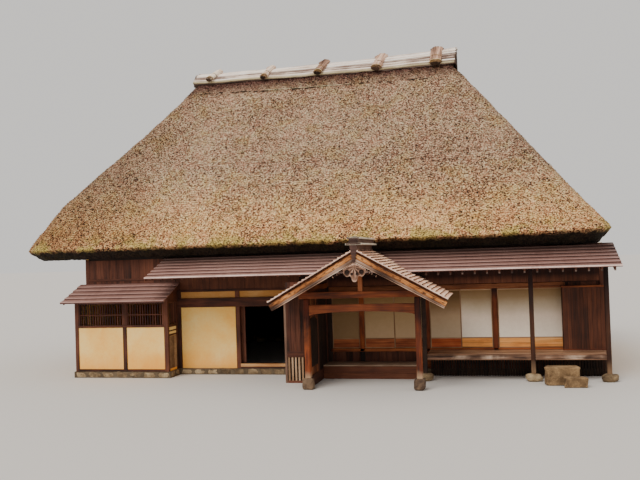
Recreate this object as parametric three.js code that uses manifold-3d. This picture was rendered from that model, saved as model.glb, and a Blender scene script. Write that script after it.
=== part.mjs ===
// A thatched farmhouse with a gabled porch, a raised verandah and a low bay at its left end.
// Millimetres, +Z up. The front faces -Y. Every piece is drawn in the facade's own frame: x = 0 is the post
// at the middle of the porch's screens, y = 0 is the line of the front posts, z = 0 is the lowest ground.
// The outer group then moves the whole to the centre of its footprint.
import * as THREE from 'three';
import { mergeVertices } from 'three/addons/utils/BufferGeometryUtils.js';
import Module from 'manifold-3d';

const wasm = await Module();
wasm.setup();

// Driving dimensions.
const GAP = 0.3;                   // between two pieces that touch
const KEN = 1970;                  // one bay between posts
const POST = 140;                  // side of a wall post
const FOOTING_TOP = 190;           // top of the stone footing
const FLOOR = 750;                 // raised floor and verandah
const CENTRE_X = -KEN;             // middle of the roof
const HALF_WIDTH = 4.5 * KEN;      // middle to the right wall's centre line
const DEPTH = 4.5 * KEN;           // front posts to back posts
const CENTRE_Y = DEPTH / 2;
const FRONT_FACE = -20;            // front face of posts and upper walls
const WALL_FACE = 20;              // front face of clay and board panels
const WALL_BACK = 100;             // back face of those panels
const FRAME_BACK = 120;            // back face of the posts
const LEFT_WALL = -9100;           // flush with the low bay, so the roof reaches far past it
const RIGHT_WALL = CENTRE_X + HALF_WIDTH;
const END_WALL = 100;              // thickness of the end walls
const WALL_DRAWN = 4400;           // walls are drawn this high and cut to the underside of the thatch
const END_DRAWN = 6200;            // the same for the end walls
const FOOTPRINT_SHIFT = -3120;     // moves the middle of the whole footprint to y = 0

const THATCH_EAVE_Z = 4095;        // outer lip of the thatch
const THATCH_SLOPE = 1.29;         // rise over run of the long slopes
const THATCH_OVERHANG = 700;       // outer lip in front of the front posts
const THATCH_HALF_LENGTH = 9280;   // middle to the lip at the hipped ends
const THATCH_END_RUN = 0.745;      // run over rise of the hipped ends
const THATCH_THICK = 696;          // measured level
const THATCH_CUT_DROP = 342;       // inner lip below the outer lip
const THATCH_TOP = 10350;
const THATCH_LEVELS = [THATCH_EAVE_Z, 4700, 5600, 7000, 8500, 9700, THATCH_TOP];
const THATCH_ROUNDING = [900, 820, 700, 560, 400, 260, 180];   // radius of the hips at these levels
const LEFT_SWELLING = [0, 200, 400, 230, 30, 0, 0];            // by which the left end bellies out there

const LINTEL = [2120, 2410];       // beam over the entrance, bottom and top
const BAND = 2610;                 // bottom of the boarded band over the entrance
const TRACK_LOW = [700, 790];      // sill under the sliding screens
const TRACK_HIGH = [2516, 2670];   // grooved head over the sliding screens
const SCREEN_PLAY = 6;             // free height over a screen, which rests on its sill
const SCREEN = { thick: 30, stile: 30, rail: 36, board: 280 };
const TRACK_Y = { outer: [20, 50], inner: [56, 86] };
const SIDE_GAP = 6;                // between a screen and the post beside it
const LAP = 30;                    // by which two closed screens overlap
const SILL_TOP = 340;              // rail on which the entrance door slides
const DOOR = { x: [-5650, -3750], y: [145, 185], z: [SILL_TOP + GAP, 2165] };

const PENT_EDGE = [-1648, 3098];   // y and z of the metal roof's lower edge
const PENT_SLOPE = 0.38;
const PENT_THICK = 60;
const PENT_ENDS = [-6300, 7240];
const EAVE_BEAM_Y = [-1080, -960];
const EAVE_BEAM_Z = [3170, 3319];

const DECK_EDGE = -1050;           // outer edge of the verandah
const DECK_END = 6955;
const VERANDAH_POSTS = [KEN, 2.5 * KEN, 3.5 * KEN];
const VERANDAH_POST_Y = [-1080, -960];
const VERANDAH_STONE = { half: 240, beyond: 125, top: 210 };   // beyond: past the post, front and back

const PORCH_X = [-1085, 1950];     // porch post centres
const PORCH_MID = 435;
const PORCH_Y = -2500;
const PORCH_PEAK = 3790;           // where the two slopes would meet on top
const PORCH_SLOPE = 0.56;
const PORCH_HALF = 2390;
const PORCH_FRONT = -3300;
const PORCH_BACK = -750;
const PORCH_THICK = 100;           // measured upright
const PORCH_STONE = [165, 310];    // half side and height of the stones under the porch posts
const TIE = [2470, 2650];          // tie across the porch posts, bottom and top
const ARCH_STEPS = 12;
const BARGE_Y = [PORCH_FRONT + 20, PORCH_FRONT + 70];
const BARGE_DEEP = 215;

const BAY = { left: -9150, right: -5980, front: -760, wall: 80 };
const BAY_ROOF = { edge: [-1300, 2380], slope: 0.414, thick: 60, ends: [-9350, -5850] };
const BAY_WINDOW = [1650, 2310];

const RIDGE_ENDS = [-6810, 2930];
// Straw ropes that cross in pairs over the ridge. Each pair has a middle and half a width; its front rope
// has a foot and a head, each as [x from the middle, z].
const ROPES = [
  { middle: -5960, half: 135, foot: [-190, 10290], head: [95, 10726] },
  { middle: -3885, half: 135, foot: [-160, 10200], head: [95, 10706] },
  { middle: -1850, half: 160, foot: [-160, 10190], head: [95, 10746] },
  { middle: 255, half: 190, foot: [-145, 10165], head: [90, 10776] },
  { middle: 2250, half: 215, foot: [-35, 10160], head: [25, 10850] },
];
const ROPE_Y = { foot: -620, head: -20 };
const ROPE_HALF_DEPTH = 88;
const ROPE_SIDES = 12;
const WIDE = 30000;                // reaches past everything

// Materials.
const paint = (color, roughness, metalness = 0) =>
  new THREE.MeshStandardMaterial({ color, roughness, metalness });
const LOOKS = {
  thatch: paint(0x84705e, 1.0),
  bamboo: paint(0x9a948a, 0.7),
  straw: paint(0xa07c66, 0.95),
  sheet: paint(0x5a3a34, 0.45, 0.4),
  timber: paint(0x4e3022, 0.75),
  worn: paint(0x7c4a30, 0.8),
  grey: paint(0x8a7c70, 0.85),
  clay: paint(0xcfa864, 0.95),
  paper: paint(0xd8cdbd, 0.9),
  shingle: paint(0x8d7068, 0.8),
  stone: paint(0x8c8479, 0.95),
};

const house = new THREE.Group();
house.name = 'farmhouse';
house.position.set(-CENTRE_X, FOOTPRINT_SHIFT, 0);
const body = new THREE.Group();
house.add(body);

// Helpers.
function addMesh(name, geometry, look) {
  const mesh = new THREE.Mesh(geometry, LOOKS[look]);
  mesh.name = name;
  body.add(mesh);
  return mesh;
}

// A box from its two limits on each axis.
function boxGeometry(x, y, z) {
  const geometry = new THREE.BoxGeometry(x[1] - x[0], y[1] - y[0], z[1] - z[0]);
  geometry.translate((x[0] + x[1]) / 2, (y[0] + y[1]) / 2, (z[0] + z[1]) / 2);
  return geometry;
}

function addBox(name, x, y, z, look) {
  return addMesh(name, boxGeometry(x, y, z), look);
}

// A prism along X from an outline of [y, z] points.
function prismX(outline, x) {
  const shape = new THREE.Shape(outline.map(([y, z]) => new THREE.Vector2(y, z)));
  const geometry = new THREE.ExtrudeGeometry(shape, { depth: x[1] - x[0], bevelEnabled: false });
  geometry.applyMatrix4(new THREE.Matrix4().set(0, 0, 1, x[0], 1, 0, 0, 0, 0, 1, 0, 0, 0, 0, 0, 1));
  return geometry;
}

// A prism along Y from an outline of [x, z] points.
function prismY(outline, y) {
  const shape = new THREE.Shape(outline.map(([x, z]) => new THREE.Vector2(x, z)));
  const geometry = new THREE.ExtrudeGeometry(shape, { depth: y[1] - y[0], bevelEnabled: false });
  geometry.applyMatrix4(new THREE.Matrix4().set(1, 0, 0, 0, 0, 0, -1, y[1], 0, 1, 0, 0, 0, 0, 0, 1));
  return geometry;
}

// A closed three.js geometry as a solid that can be joined and cut.
function solid(geometry) {
  const plain = geometry.clone();
  plain.deleteAttribute('normal');
  plain.deleteAttribute('uv');
  const merged = mergeVertices(plain, 1e-4);
  return new wasm.Manifold(new wasm.Mesh({
    numProp: 3,
    vertProperties: new Float32Array(merged.attributes.position.array),
    triVerts: new Uint32Array(merged.index.array),
  }));
}

const solidBox = (x, y, z) => solid(boxGeometry(x, y, z));

function joinAll(list) {
  return list.reduce((whole, piece) => whole.add(piece));
}

function addSolid(name, shape, look) {
  const mesh = shape.getMesh();
  const geometry = new THREE.BufferGeometry();
  geometry.setAttribute('position', new THREE.BufferAttribute(new Float32Array(mesh.vertProperties), 3));
  geometry.setIndex(new THREE.BufferAttribute(new Uint32Array(mesh.triVerts), 1));
  geometry.computeVertexNormals();
  return addMesh(name, geometry, look);
}

// Thatch.
// A level ring of the roof: a rectangle with rounded corners about the house's middle.
function roofRing(halfX, halfY, radius, z, leftSwelling = 0) {
  const points = [];
  const steps = 6;
  const corners = [[1, 1], [-1, 1], [-1, -1], [1, -1]];
  const r = Math.min(radius, halfX - 1, halfY - 1);
  corners.forEach(([sx, sy], quarter) => {
    for (let i = 0; i <= steps; i += 1) {
      const angle = (quarter + i / steps) * Math.PI / 2;
      const swelling = sx < 0 ? leftSwelling : 0;
      const x = CENTRE_X + sx * (halfX - r) + r * Math.cos(angle) - swelling;
      const y = CENTRE_Y + sy * (halfY - r) + r * Math.sin(angle);
      points.push([x, y, z]);
    }
  });
  return points;
}

// A closed body lofted through rings, with a flat cap on the first and the last.
function loft(rings) {
  const n = rings[0].length;
  const positions = rings.flat(2);
  const index = [];
  for (let k = 0; k < rings.length - 1; k += 1) {
    const a = k * n;
    const b = a + n;
    for (let i = 0; i < n; i += 1) {
      const j = (i + 1) % n;
      index.push(a + i, a + j, b + j, a + i, b + j, b + i);
    }
  }
  const last = (rings.length - 1) * n;
  for (let i = 1; i < n - 1; i += 1) {
    index.push(0, i + 1, i);
    index.push(last, last + i, last + i + 1);
  }
  const geometry = new THREE.BufferGeometry();
  geometry.setAttribute('position', new THREE.Float32BufferAttribute(positions, 3));
  geometry.setIndex(index);
  geometry.computeVertexNormals();
  return geometry;
}

const outerHalfX = (z) => THATCH_HALF_LENGTH - THATCH_END_RUN * (z - THATCH_EAVE_Z);
const outerHalfY = (z) => CENTRE_Y + THATCH_OVERHANG - (z - THATCH_EAVE_Z) / THATCH_SLOPE;
const innerHalfX = (z, slack = 0) => outerHalfX(z) - THATCH_THICK - slack;
const innerHalfY = (z, slack = 0) => outerHalfY(z) - THATCH_THICK - slack;
const INNER_LIP = THATCH_EAVE_Z - THATCH_CUT_DROP;
const INNER_TOP = 9450;

function outerShell() {
  const rings = THATCH_LEVELS.map((z, i) => (
    roofRing(outerHalfX(z), outerHalfY(z), THATCH_ROUNDING[i], z, LEFT_SWELLING[i])));
  rings.unshift(roofRing(innerHalfX(INNER_LIP), innerHalfY(INNER_LIP), 600, INNER_LIP));
  return solid(loft(rings));
}

function innerSpace(slack, low) {
  const heights = [INNER_LIP, 5600, 7600, INNER_TOP];
  const radii = [600, 480, 300, 150];
  const rings = heights.map((z, i) => roofRing(innerHalfX(z, slack), innerHalfY(z, slack), radii[i], z));
  const first = rings[0].map(([x, y]) => [x, y, low]);
  return solid(loft([first, ...rings]));
}

const thatch = outerShell().subtract(innerSpace(0, INNER_LIP - 200));
addSolid('thatch_roof', thatch, 'thatch');

// Room for walls: all that lies under the inner lip, and the hollow of the roof less a small gap.
const underThatch = innerSpace(0.5, 1000)
  .add(solidBox([-WIDE, WIDE], [-WIDE, WIDE], [-100, INNER_LIP - GAP]));

// Ridge.
function aboutRidge(points) {
  return points.map(([y, z]) => [CENTRE_Y + y, z]);
}

const thatchLine = (y) => THATCH_EAVE_Z + THATCH_SLOPE * (CENTRE_Y + THATCH_OVERHANG - Math.abs(y));
const flip = (list) => list.map(([y, z]) => [-y, z]);
const turned = (list) => [...list].reverse();
const coverSide = [[500, 10120], [405, 10380], [270, 10590], [120, 10705]];
const coverSeat = [[outerHalfY(THATCH_TOP) + 0.5, THATCH_TOP + 0.5], [440, thatchLine(440) + 0.6]];
const coverOutline = [...flip(coverSide), ...turned(coverSide), ...turned(coverSeat), ...flip(coverSeat)];
addMesh('ridge_cover', prismX(aboutRidge(coverOutline), RIDGE_ENDS), 'bamboo');

// A pair of straw ropes astride the ridge cover, and cut to its sides; way is 1 for the rope in front.
function rope({ middle, half, foot, head }, way) {
  const end = ([dx, z], dy) => new THREE.Vector3(middle + way * dx, CENTRE_Y + way * dy, z);
  const ends = [end(foot, ROPE_Y.foot), end(head, ROPE_Y.head)];
  const along = ends[1].clone().sub(ends[0]).normalize();
  const across = new THREE.Vector3(1, 0, 0).addScaledVector(along, -along.x).normalize();
  const up = along.clone().cross(across);
  const ring = (centre) => Array.from({ length: ROPE_SIDES }, (_, i) => {
    const angle = (i / ROPE_SIDES) * 2 * Math.PI;
    return centre.clone()
      .addScaledVector(across, half * Math.cos(angle))
      .addScaledVector(up, ROPE_HALF_DEPTH * Math.sin(angle))
      .toArray();
  });
  return solid(loft(ends.map(ring)));
}

const ropeSeat = coverSide.map(([y, z]) => [y + GAP, z + GAP]);
const ropeRoom = solid(prismX(aboutRidge([...flip(ropeSeat), ...turned(ropeSeat)]), [-WIDE, WIDE]));
ROPES.forEach((pair, i) => {
  addSolid(`ridge_bundle_${i + 1}`, rope(pair, 1).add(rope(pair, -1)).subtract(ropeRoom), 'straw');
});

// Metal roofs.
// The outline of a sloping slab in front of the house, from its edge back to a given y.
function slabOutline([edgeY, edgeZ], slope, thick, backY) {
  const backZ = edgeZ + slope * (backY - edgeY);
  return [[edgeY, edgeZ], [backY, backZ], [backY, backZ + thick], [edgeY, edgeZ + thick]];
}

const AGAINST_FRONT = FRONT_FACE - GAP;
const pentUnder = (y) => PENT_EDGE[1] + PENT_SLOPE * (y - PENT_EDGE[0]);
const pentOutline = slabOutline(PENT_EDGE, PENT_SLOPE, PENT_THICK, AGAINST_FRONT);
addSolid('pent_roof', solid(prismX(pentOutline, PENT_ENDS)).intersect(underThatch), 'sheet');

// The beam under the metal roof, carried by the verandah posts and by arms from the wall posts.
const beamTop = pentUnder(EAVE_BEAM_Y[0]) - GAP;
const eaveBeamX = [PENT_ENDS[0] + 60, PENT_ENDS[1] - 90];
const eaveBeam = [solidBox(eaveBeamX, EAVE_BEAM_Y, [EAVE_BEAM_Z[0], beamTop])];
[-3 * KEN, -2 * KEN, -KEN, 3 * KEN].forEach((x) => {
  const armY = [EAVE_BEAM_Y[1] - 20, AGAINST_FRONT];
  eaveBeam.push(solidBox([x - 50, x + 50], armY, [EAVE_BEAM_Z[0] + 20, beamTop]));
});
addSolid('pent_eave_beam', joinAll(eaveBeam), 'timber');

// Low bay at the left.
const bayUnder = (y) => BAY_ROOF.edge[1] + BAY_ROOF.slope * (y - BAY_ROOF.edge[0]);
addMesh('bay_roof', prismX(slabOutline(BAY_ROOF.edge, BAY_ROOF.slope, BAY_ROOF.thick, AGAINST_FRONT),
  BAY_ROOF.ends), 'sheet');
const underBayRoof = solid(prismX([
  [BAY.front - 500, 0],
  [500, 0],
  [500, bayUnder(500) - GAP],
  [BAY.front - 500, bayUnder(BAY.front - 500) - GAP],
], [-WIDE, WIDE]));
const bayInner = BAY.front + BAY.wall;
const bayFrontTop = bayUnder(BAY.front) - GAP;
const bayFront = solidBox([BAY.left, BAY.right], [BAY.front, bayInner], [FOOTING_TOP + GAP, bayFrontTop])
  .subtract(solidBox([BAY.left + 160, -7500], [BAY.front - 50, bayInner + 50], BAY_WINDOW))
  .subtract(solidBox([-7360, BAY.right - 160], [BAY.front - 50, bayInner + 50], BAY_WINDOW));
addSolid('bay_front_wall', bayFront, 'clay');
const baySideY = [bayInner + GAP, AGAINST_FRONT];
const baySideZ = [FOOTING_TOP + GAP, 2960];
const bayRight = solidBox([BAY.right - BAY.wall, BAY.right], baySideY, baySideZ)
  .intersect(underBayRoof)
  .subtract(solidBox([BAY.right - 200, BAY.right + 50], [bayInner + 110, FRONT_FACE - 110], BAY_WINDOW));
addSolid('bay_right_wall', bayRight, 'clay');
const bayLeft = solidBox([BAY.left, BAY.left + BAY.wall], baySideY, baySideZ).intersect(underBayRoof);
addSolid('bay_left_wall', bayLeft, 'clay');

// Front of the house.
const half = POST / 2;
const ON_FOOTING = FOOTING_TOP + GAP;
const frameY = [FRONT_FACE, FRAME_BACK];
const panelY = [WALL_FACE, WALL_BACK];
const postAt = (x, z) => solidBox([x - half, x + half], frameY, z);
const leftEnd = LEFT_WALL + END_WALL / 2 + GAP;
const rightEnd = RIGHT_WALL - END_WALL / 2 - GAP;

const overBay = bayUnder(FRONT_FACE) - 20;
addSolid('front_wall_left', solidBox([leftEnd, -3 * KEN - half - GAP], frameY, [overBay, WALL_DRAWN])
  .intersect(underThatch), 'timber');

const entrancePosts = [-3 * KEN, -2 * KEN, -KEN].map((x) => postAt(x, [ON_FOOTING, BAND - GAP]));
const entranceFrame = joinAll([
  ...entrancePosts,
  solidBox([-3 * KEN, -KEN], [FRONT_FACE - 15, FRAME_BACK], LINTEL),
  solidBox([-3 * KEN, -KEN], panelY, [LINTEL[1] - 1, BAND - GAP]),
  solidBox([-2 * KEN, -KEN], [FRONT_FACE - 30, 195], [ON_FOOTING, SILL_TOP]),
  solidBox([-3 * KEN, -2 * KEN], [FRAME_BACK - 1, 195], [ON_FOOTING + 80, SILL_TOP]),
]);
addSolid('entrance_frame', entranceFrame, 'timber');
addBox('front_clay_wall', [-3 * KEN + half + GAP, -2 * KEN - half - GAP], [10, 90],
  [ON_FOOTING, LINTEL[0] - GAP], 'clay');
addSolid('upper_wall_left', solidBox([-3 * KEN - half, -KEN + half], frameY, [BAND, WALL_DRAWN])
  .intersect(underThatch), 'timber');

// The entrance door stands slid open behind the clay wall.
addBox('entrance_door', DOOR.x, DOOR.y, DOOR.z, 'timber');

addBox('front_board_wall', [-KEN + half + GAP, -KEN / 2 - half - GAP], panelY,
  [ON_FOOTING, TRACK_HIGH[1]], 'timber');
const screenFrame = joinAll([
  ...[-KEN / 2, 0, KEN, 2 * KEN, 3 * KEN].map((x) => postAt(x, [ON_FOOTING, TRACK_HIGH[1]])),
  solidBox([-KEN / 2, 3 * KEN], [FRONT_FACE + 10, FRAME_BACK], TRACK_HIGH),
  solidBox([-KEN / 2, 3 * KEN], [FRONT_FACE, FRAME_BACK], TRACK_LOW),
  solidBox([-KEN / 2, 3 * KEN], [40, 70], [ON_FOOTING, TRACK_LOW[0] + 1]),
]);
addSolid('screen_frame', screenFrame, 'timber');
const upperRight = solidBox([-KEN + half + GAP, rightEnd], frameY, [TRACK_HIGH[1] + GAP, WALL_DRAWN])
  .add(solidBox([3 * KEN + half + GAP, rightEnd], panelY, [ON_FOOTING, TRACK_HIGH[1] + 1]))
  .intersect(underThatch);
addSolid('upper_wall_right', upperRight, 'timber');

// Sliding paper screens.
// Each has a frame, a low board and a sheet of paper set back from both faces.
const screenZ = [TRACK_LOW[1] + GAP, TRACK_HIGH[0] - SCREEN_PLAY];
function addScreen(name, x, track) {
  const y = TRACK_Y[track];
  const inside = [x[0] + SCREEN.stile, x[1] - SCREEN.stile];
  const boardTop = screenZ[0] + SCREEN.board;
  const paperZ = [boardTop + SCREEN.rail, screenZ[1] - SCREEN.rail];
  const boardZ = [screenZ[0] + SCREEN.rail, boardTop];
  const screen = solidBox(x, y, screenZ)
    .subtract(solidBox(inside, [y[0] - 5, y[0] + 4], paperZ))
    .subtract(solidBox(inside, [y[0] + 12, y[1] + 5], paperZ))
    .subtract(solidBox(inside, [y[0] - 5, y[0] + 6], boardZ))
    .subtract(solidBox(inside, [y[0] + 20, y[1] + 5], boardZ));
  addSolid(name, screen, 'paper');
}

function addPair(first, bay) {
  const low = bay[0] + half + SIDE_GAP;
  const high = bay[1] - half - SIDE_GAP;
  const middle = (low + high) / 2;
  addScreen(`paper_screen_${first}`, [low, middle + LAP / 2], 'outer');
  addScreen(`paper_screen_${first + 1}`, [middle - LAP / 2, high], 'inner');
}
addScreen('paper_screen_1', [-KEN / 2 + half + GAP, -half - GAP], 'outer');
addPair(2, [0, KEN]);
addPair(4, [KEN, 2 * KEN]);
addPair(6, [2 * KEN, 3 * KEN]);

// Other walls and floor.
const sideY = [FRONT_FACE, DEPTH - FRONT_FACE];
const endWall = (x) => solidBox([x - END_WALL / 2, x + END_WALL / 2], sideY, [ON_FOOTING, END_DRAWN])
  .intersect(underThatch);
addSolid('left_wall', endWall(LEFT_WALL), 'clay');
addSolid('right_wall', endWall(RIGHT_WALL), 'clay');
const backY = [DEPTH - 80, DEPTH - FRONT_FACE];
addSolid('back_wall', solidBox([leftEnd, rightEnd], backY, [ON_FOOTING, WALL_DRAWN])
  .intersect(underThatch), 'clay');

const floorY = [FRAME_BACK + GAP, DEPTH - 80 - GAP];
const innerFloor = solidBox([-KEN + GAP, rightEnd], floorY, [FLOOR - 60, FLOOR])
  .add(solidBox([-KEN + GAP, -KEN + 90], floorY, [0, FLOOR - 1]));
addSolid('raised_floor', innerFloor, 'timber');

// The stone footing runs under every wall, round the bay and along the screens.
const footFront = [-60, 110];
const footAt = (x, y) => solidBox(x, y, [0, FOOTING_TOP]);
const footing = joinAll([
  footAt([BAY.right - 120, RIGHT_WALL + 90], footFront),
  footAt([BAY.left - 50, BAY.right + 70], [BAY.front - 50, BAY.front + 130]),
  footAt([BAY.left - 50, BAY.left + 150], [BAY.front - 50, DEPTH + 60]),
  footAt([BAY.right - 120, BAY.right + 70], [BAY.front - 50, 110]),
  footAt([RIGHT_WALL - 90, RIGHT_WALL + 90], [-60, DEPTH + 60]),
  footAt([BAY.left - 50, RIGHT_WALL + 90], [DEPTH - 75, DEPTH + 60]),
]);
addSolid('stone_footing', footing, 'stone');

// Verandah.
const postHole = (x) => solidBox([x - 60 - GAP, x + 60 + GAP],
  [VERANDAH_POST_Y[0] - GAP, VERANDAH_POST_Y[1] + GAP], [0, 4000]);
const postHoles = joinAll(VERANDAH_POSTS.map(postHole));
addSolid('verandah_floor', solidBox([KEN + 62, DECK_END], [DECK_EDGE, AGAINST_FRONT], [FLOOR - 40, FLOOR])
  .subtract(postHoles), 'grey');
addSolid('verandah_edge_beam', solidBox([KEN + 62, DECK_END], [DECK_EDGE + 6, DECK_EDGE + 120],
  [590, FLOOR - 40 - GAP]).subtract(postHoles), 'grey');
VERANDAH_POSTS.forEach((x, i) => {
  const { half, beyond, top } = VERANDAH_STONE;
  const stoneY = [VERANDAH_POST_Y[0] - beyond, VERANDAH_POST_Y[1] + beyond];
  const post = solidBox([x - 60, x + 60], VERANDAH_POST_Y, [top - 1, EAVE_BEAM_Z[0] - GAP])
    .add(solidBox([x - half, x + half], stoneY, [0, top]));
  addSolid(`verandah_post_${i + 1}`, post, 'worn');
});
addBox('shutter_box', [5800, DECK_END - 15], [-320, AGAINST_FRONT], [FLOOR + GAP, 2555], 'timber');
addSolid('verandah_step', solidBox([5190, 6070], [-1760, -1250], [0, 480])
  .add(solidBox([5660, 6240], [-2050, -1759], [0, 260])), 'grey');

// Porch.
const porchTop = (x) => PORCH_PEAK - PORCH_SLOPE * Math.abs(x - PORCH_MID);
const porchUnder = (x) => porchTop(x) - PORCH_THICK;
const underPorch = solid(prismY([
  [PORCH_MID - 3000, 0],
  [PORCH_MID + 3000, 0],
  [PORCH_MID + 3000, porchUnder(PORCH_MID + 3000) - GAP],
  [PORCH_MID, porchUnder(PORCH_MID) - GAP],
  [PORCH_MID - 3000, porchUnder(PORCH_MID - 3000) - GAP],
], [PORCH_FRONT - 500, 500]));

// Each slope is trimmed where it meets the metal roof, and stops short under its eave.
const trimUnderPent = solid(prismX([
  [-1150, 0],
  [0, 0],
  [0, pentUnder(0) + PENT_THICK + GAP],
  [PENT_EDGE[0] - GAP, PENT_EDGE[1] + PENT_THICK + GAP],
  [PENT_EDGE[0] - GAP, PENT_EDGE[1] - GAP],
  [-1150, pentUnder(-1150) - GAP],
], [-WIDE, WIDE]));
function porchSlope(side) {
  const ridgeX = PORCH_MID + side * GAP;
  const eaveX = PORCH_MID + side * PORCH_HALF;
  const outline = [
    [ridgeX, porchTop(ridgeX)],
    [ridgeX, porchUnder(ridgeX)],
    [eaveX, porchUnder(eaveX)],
    [eaveX, porchTop(eaveX)],
  ];
  const ordered = side > 0 ? outline : [...outline].reverse();
  return solid(prismY(ordered, [PORCH_FRONT, PORCH_BACK])).subtract(trimUnderPent);
}
addSolid('porch_roof_left', porchSlope(-1), 'shingle');
addSolid('porch_roof_right', porchSlope(1), 'shingle');

// The ridge of the porch: two tiers of boards on top of the slopes.
const ridgeSeat = (x) => porchTop(PORCH_MID + x) + 0.4;
addMesh('porch_ridge', prismY([
  [PORCH_MID - 200, ridgeSeat(200)],
  [PORCH_MID, ridgeSeat(0)],
  [PORCH_MID + 200, ridgeSeat(200)],
  [PORCH_MID + 200, 3870],
  [PORCH_MID + 125, 3905],
  [PORCH_MID + 125, 4040],
  [PORCH_MID + 90, 4110],
  [PORCH_MID - 90, 4110],
  [PORCH_MID - 125, 4040],
  [PORCH_MID - 125, 3905],
  [PORCH_MID - 200, 3870],
], [PORCH_FRONT - 20, PORCH_BACK]), 'shingle');

// Its frame: a tie across the posts, a short post and beam under the ridge, and a plate along each side.
const plateBox = (x, backY, slack) => solidBox([x - 60 - slack, x + 60 + slack],
  [PORCH_FRONT + 90, backY], [TIE[1] - 1 - slack, 2930]);
const rightPlateBack = VERANDAH_POST_Y[0] - GAP;
const porchFrame = joinAll([
  solidBox([PORCH_X[0] - 190, PORCH_X[1] + 190], [PORCH_Y - 70, PORCH_Y + 70], TIE),
  solidBox([PORCH_MID - 60, PORCH_MID + 60], [PORCH_Y - 60, PORCH_Y + 60], [TIE[1] - 1, 3560]),
  solidBox([PORCH_MID - 60, PORCH_MID + 60], [PORCH_FRONT + 90, PORCH_BACK], [3530, 3800]),
  plateBox(PORCH_X[0], AGAINST_FRONT, 0),
  plateBox(PORCH_X[1], rightPlateBack, 0),
]).intersect(underPorch);
addSolid('porch_roof_frame', porchFrame, 'worn');

const archX = [PORCH_X[0] + 90 + GAP, PORCH_X[1] - 90 - GAP];
const archPoints = [];
for (let i = 0; i <= ARCH_STEPS; i += 1) {
  const t = i / ARCH_STEPS;
  const rise = 100 * (1 - (2 * t - 1) ** 2) ** 0.5;
  archPoints.push([archX[0] + t * (archX[1] - archX[0]), 2005 + rise]);
}
const archOutline = [...archPoints, [archX[1], 2300], [archX[0], 2300]];
addMesh('porch_arched_beam', prismY(archOutline, [PORCH_Y - 60, PORCH_Y + 60]), 'worn');

const [stoneHalf, stoneTop] = PORCH_STONE;
['left', 'right'].forEach((side, i) => {
  const x = PORCH_X[i];
  addBox(`porch_post_${side}`, [x - 90, x + 90], [PORCH_Y - 90, PORCH_Y + 90], [stoneTop + GAP, TIE[0] - GAP],
    'worn');
  addBox(`porch_stone_${side}`, [x - stoneHalf, x + stoneHalf], [PORCH_Y - stoneHalf, PORCH_Y + stoneHalf],
    [0, stoneTop], 'stone');
});

// Bargeboards meet at the middle; the carved pendant hangs in front of them.
function bargeboard(side) {
  const at = (along, below) => [PORCH_MID + side * along, PORCH_PEAK - PORCH_THICK - GAP
    - PORCH_SLOPE * along - below];
  const cut = BARGE_DEEP * 0.42;
  const outline = [
    at(GAP, 0),
    at(GAP, BARGE_DEEP + 30),
    at(800, BARGE_DEEP + 14),
    at(1600, BARGE_DEEP + 6),
    at(PORCH_HALF - 30 - cut, BARGE_DEEP),
    at(PORCH_HALF - 30, 0),
  ];
  return prismY(side > 0 ? outline : [...outline].reverse(), BARGE_Y);
}
addMesh('bargeboard_left', bargeboard(-1), 'worn');
addMesh('bargeboard_right', bargeboard(1), 'worn');

const pendantHalf = [
  [0, 3560], [90, 3500], [95, 3400], [200, 3330], [330, 3250], [470, 3150], [500, 3080],
  [440, 3050], [350, 3110], [250, 3120], [170, 3080], [150, 3010], [80, 2960], [0, 2910],
];
const pendantRight = pendantHalf.map(([x, z]) => [PORCH_MID + x, z]);
const pendantLeft = turned(pendantHalf.slice(1, -1).map(([x, z]) => [PORCH_MID - x, z]));
addMesh('gable_pendant', prismY(turned([...pendantRight, ...pendantLeft]),
  [BARGE_Y[0] - 45, BARGE_Y[0] - GAP]), 'worn');

// Boarded walls left of the porch: a narrow front, a return to the entrance, and the porch's side.
const closetFront = solidBox([-KEN - 35, PORCH_X[0] - 40], [-1540, -1470], [0, 2900])
  .subtract(plateBox(PORCH_X[0], AGAINST_FRONT, GAP));
const closetSide = solidBox([-KEN - 35, -KEN + 35], [-1471, -61], [0, 2310]);
addSolid('closet_wall', closetFront.add(closetSide).intersect(underPorch), 'timber');
const stoneRoom = solidBox([PORCH_X[0] - 200, PORCH_X[0] + 200], [PORCH_Y, PORCH_Y + stoneHalf + GAP],
  [-1, stoneTop + GAP]);
const sideWallY = [PORCH_Y + 90 + GAP, -61];
const sideWall = solidBox([PORCH_X[0] - 39.5, PORCH_X[0] + 35], sideWallY, [0, TIE[1] - 1.5])
  .subtract(stoneRoom);
addSolid('porch_side_wall', sideWall, 'timber');
addBox('porch_step', [PORCH_X[0] + 36, KEN - 150], [-800, -60 - GAP], [0, 410], 'grey');

export default house;
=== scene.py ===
"""Looks for a thatched farmhouse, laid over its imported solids. Metres, +Z up, the front faces -Y."""

import math
from types import SimpleNamespace

import bpy
import numpy as np
from mathutils import Matrix


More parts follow.
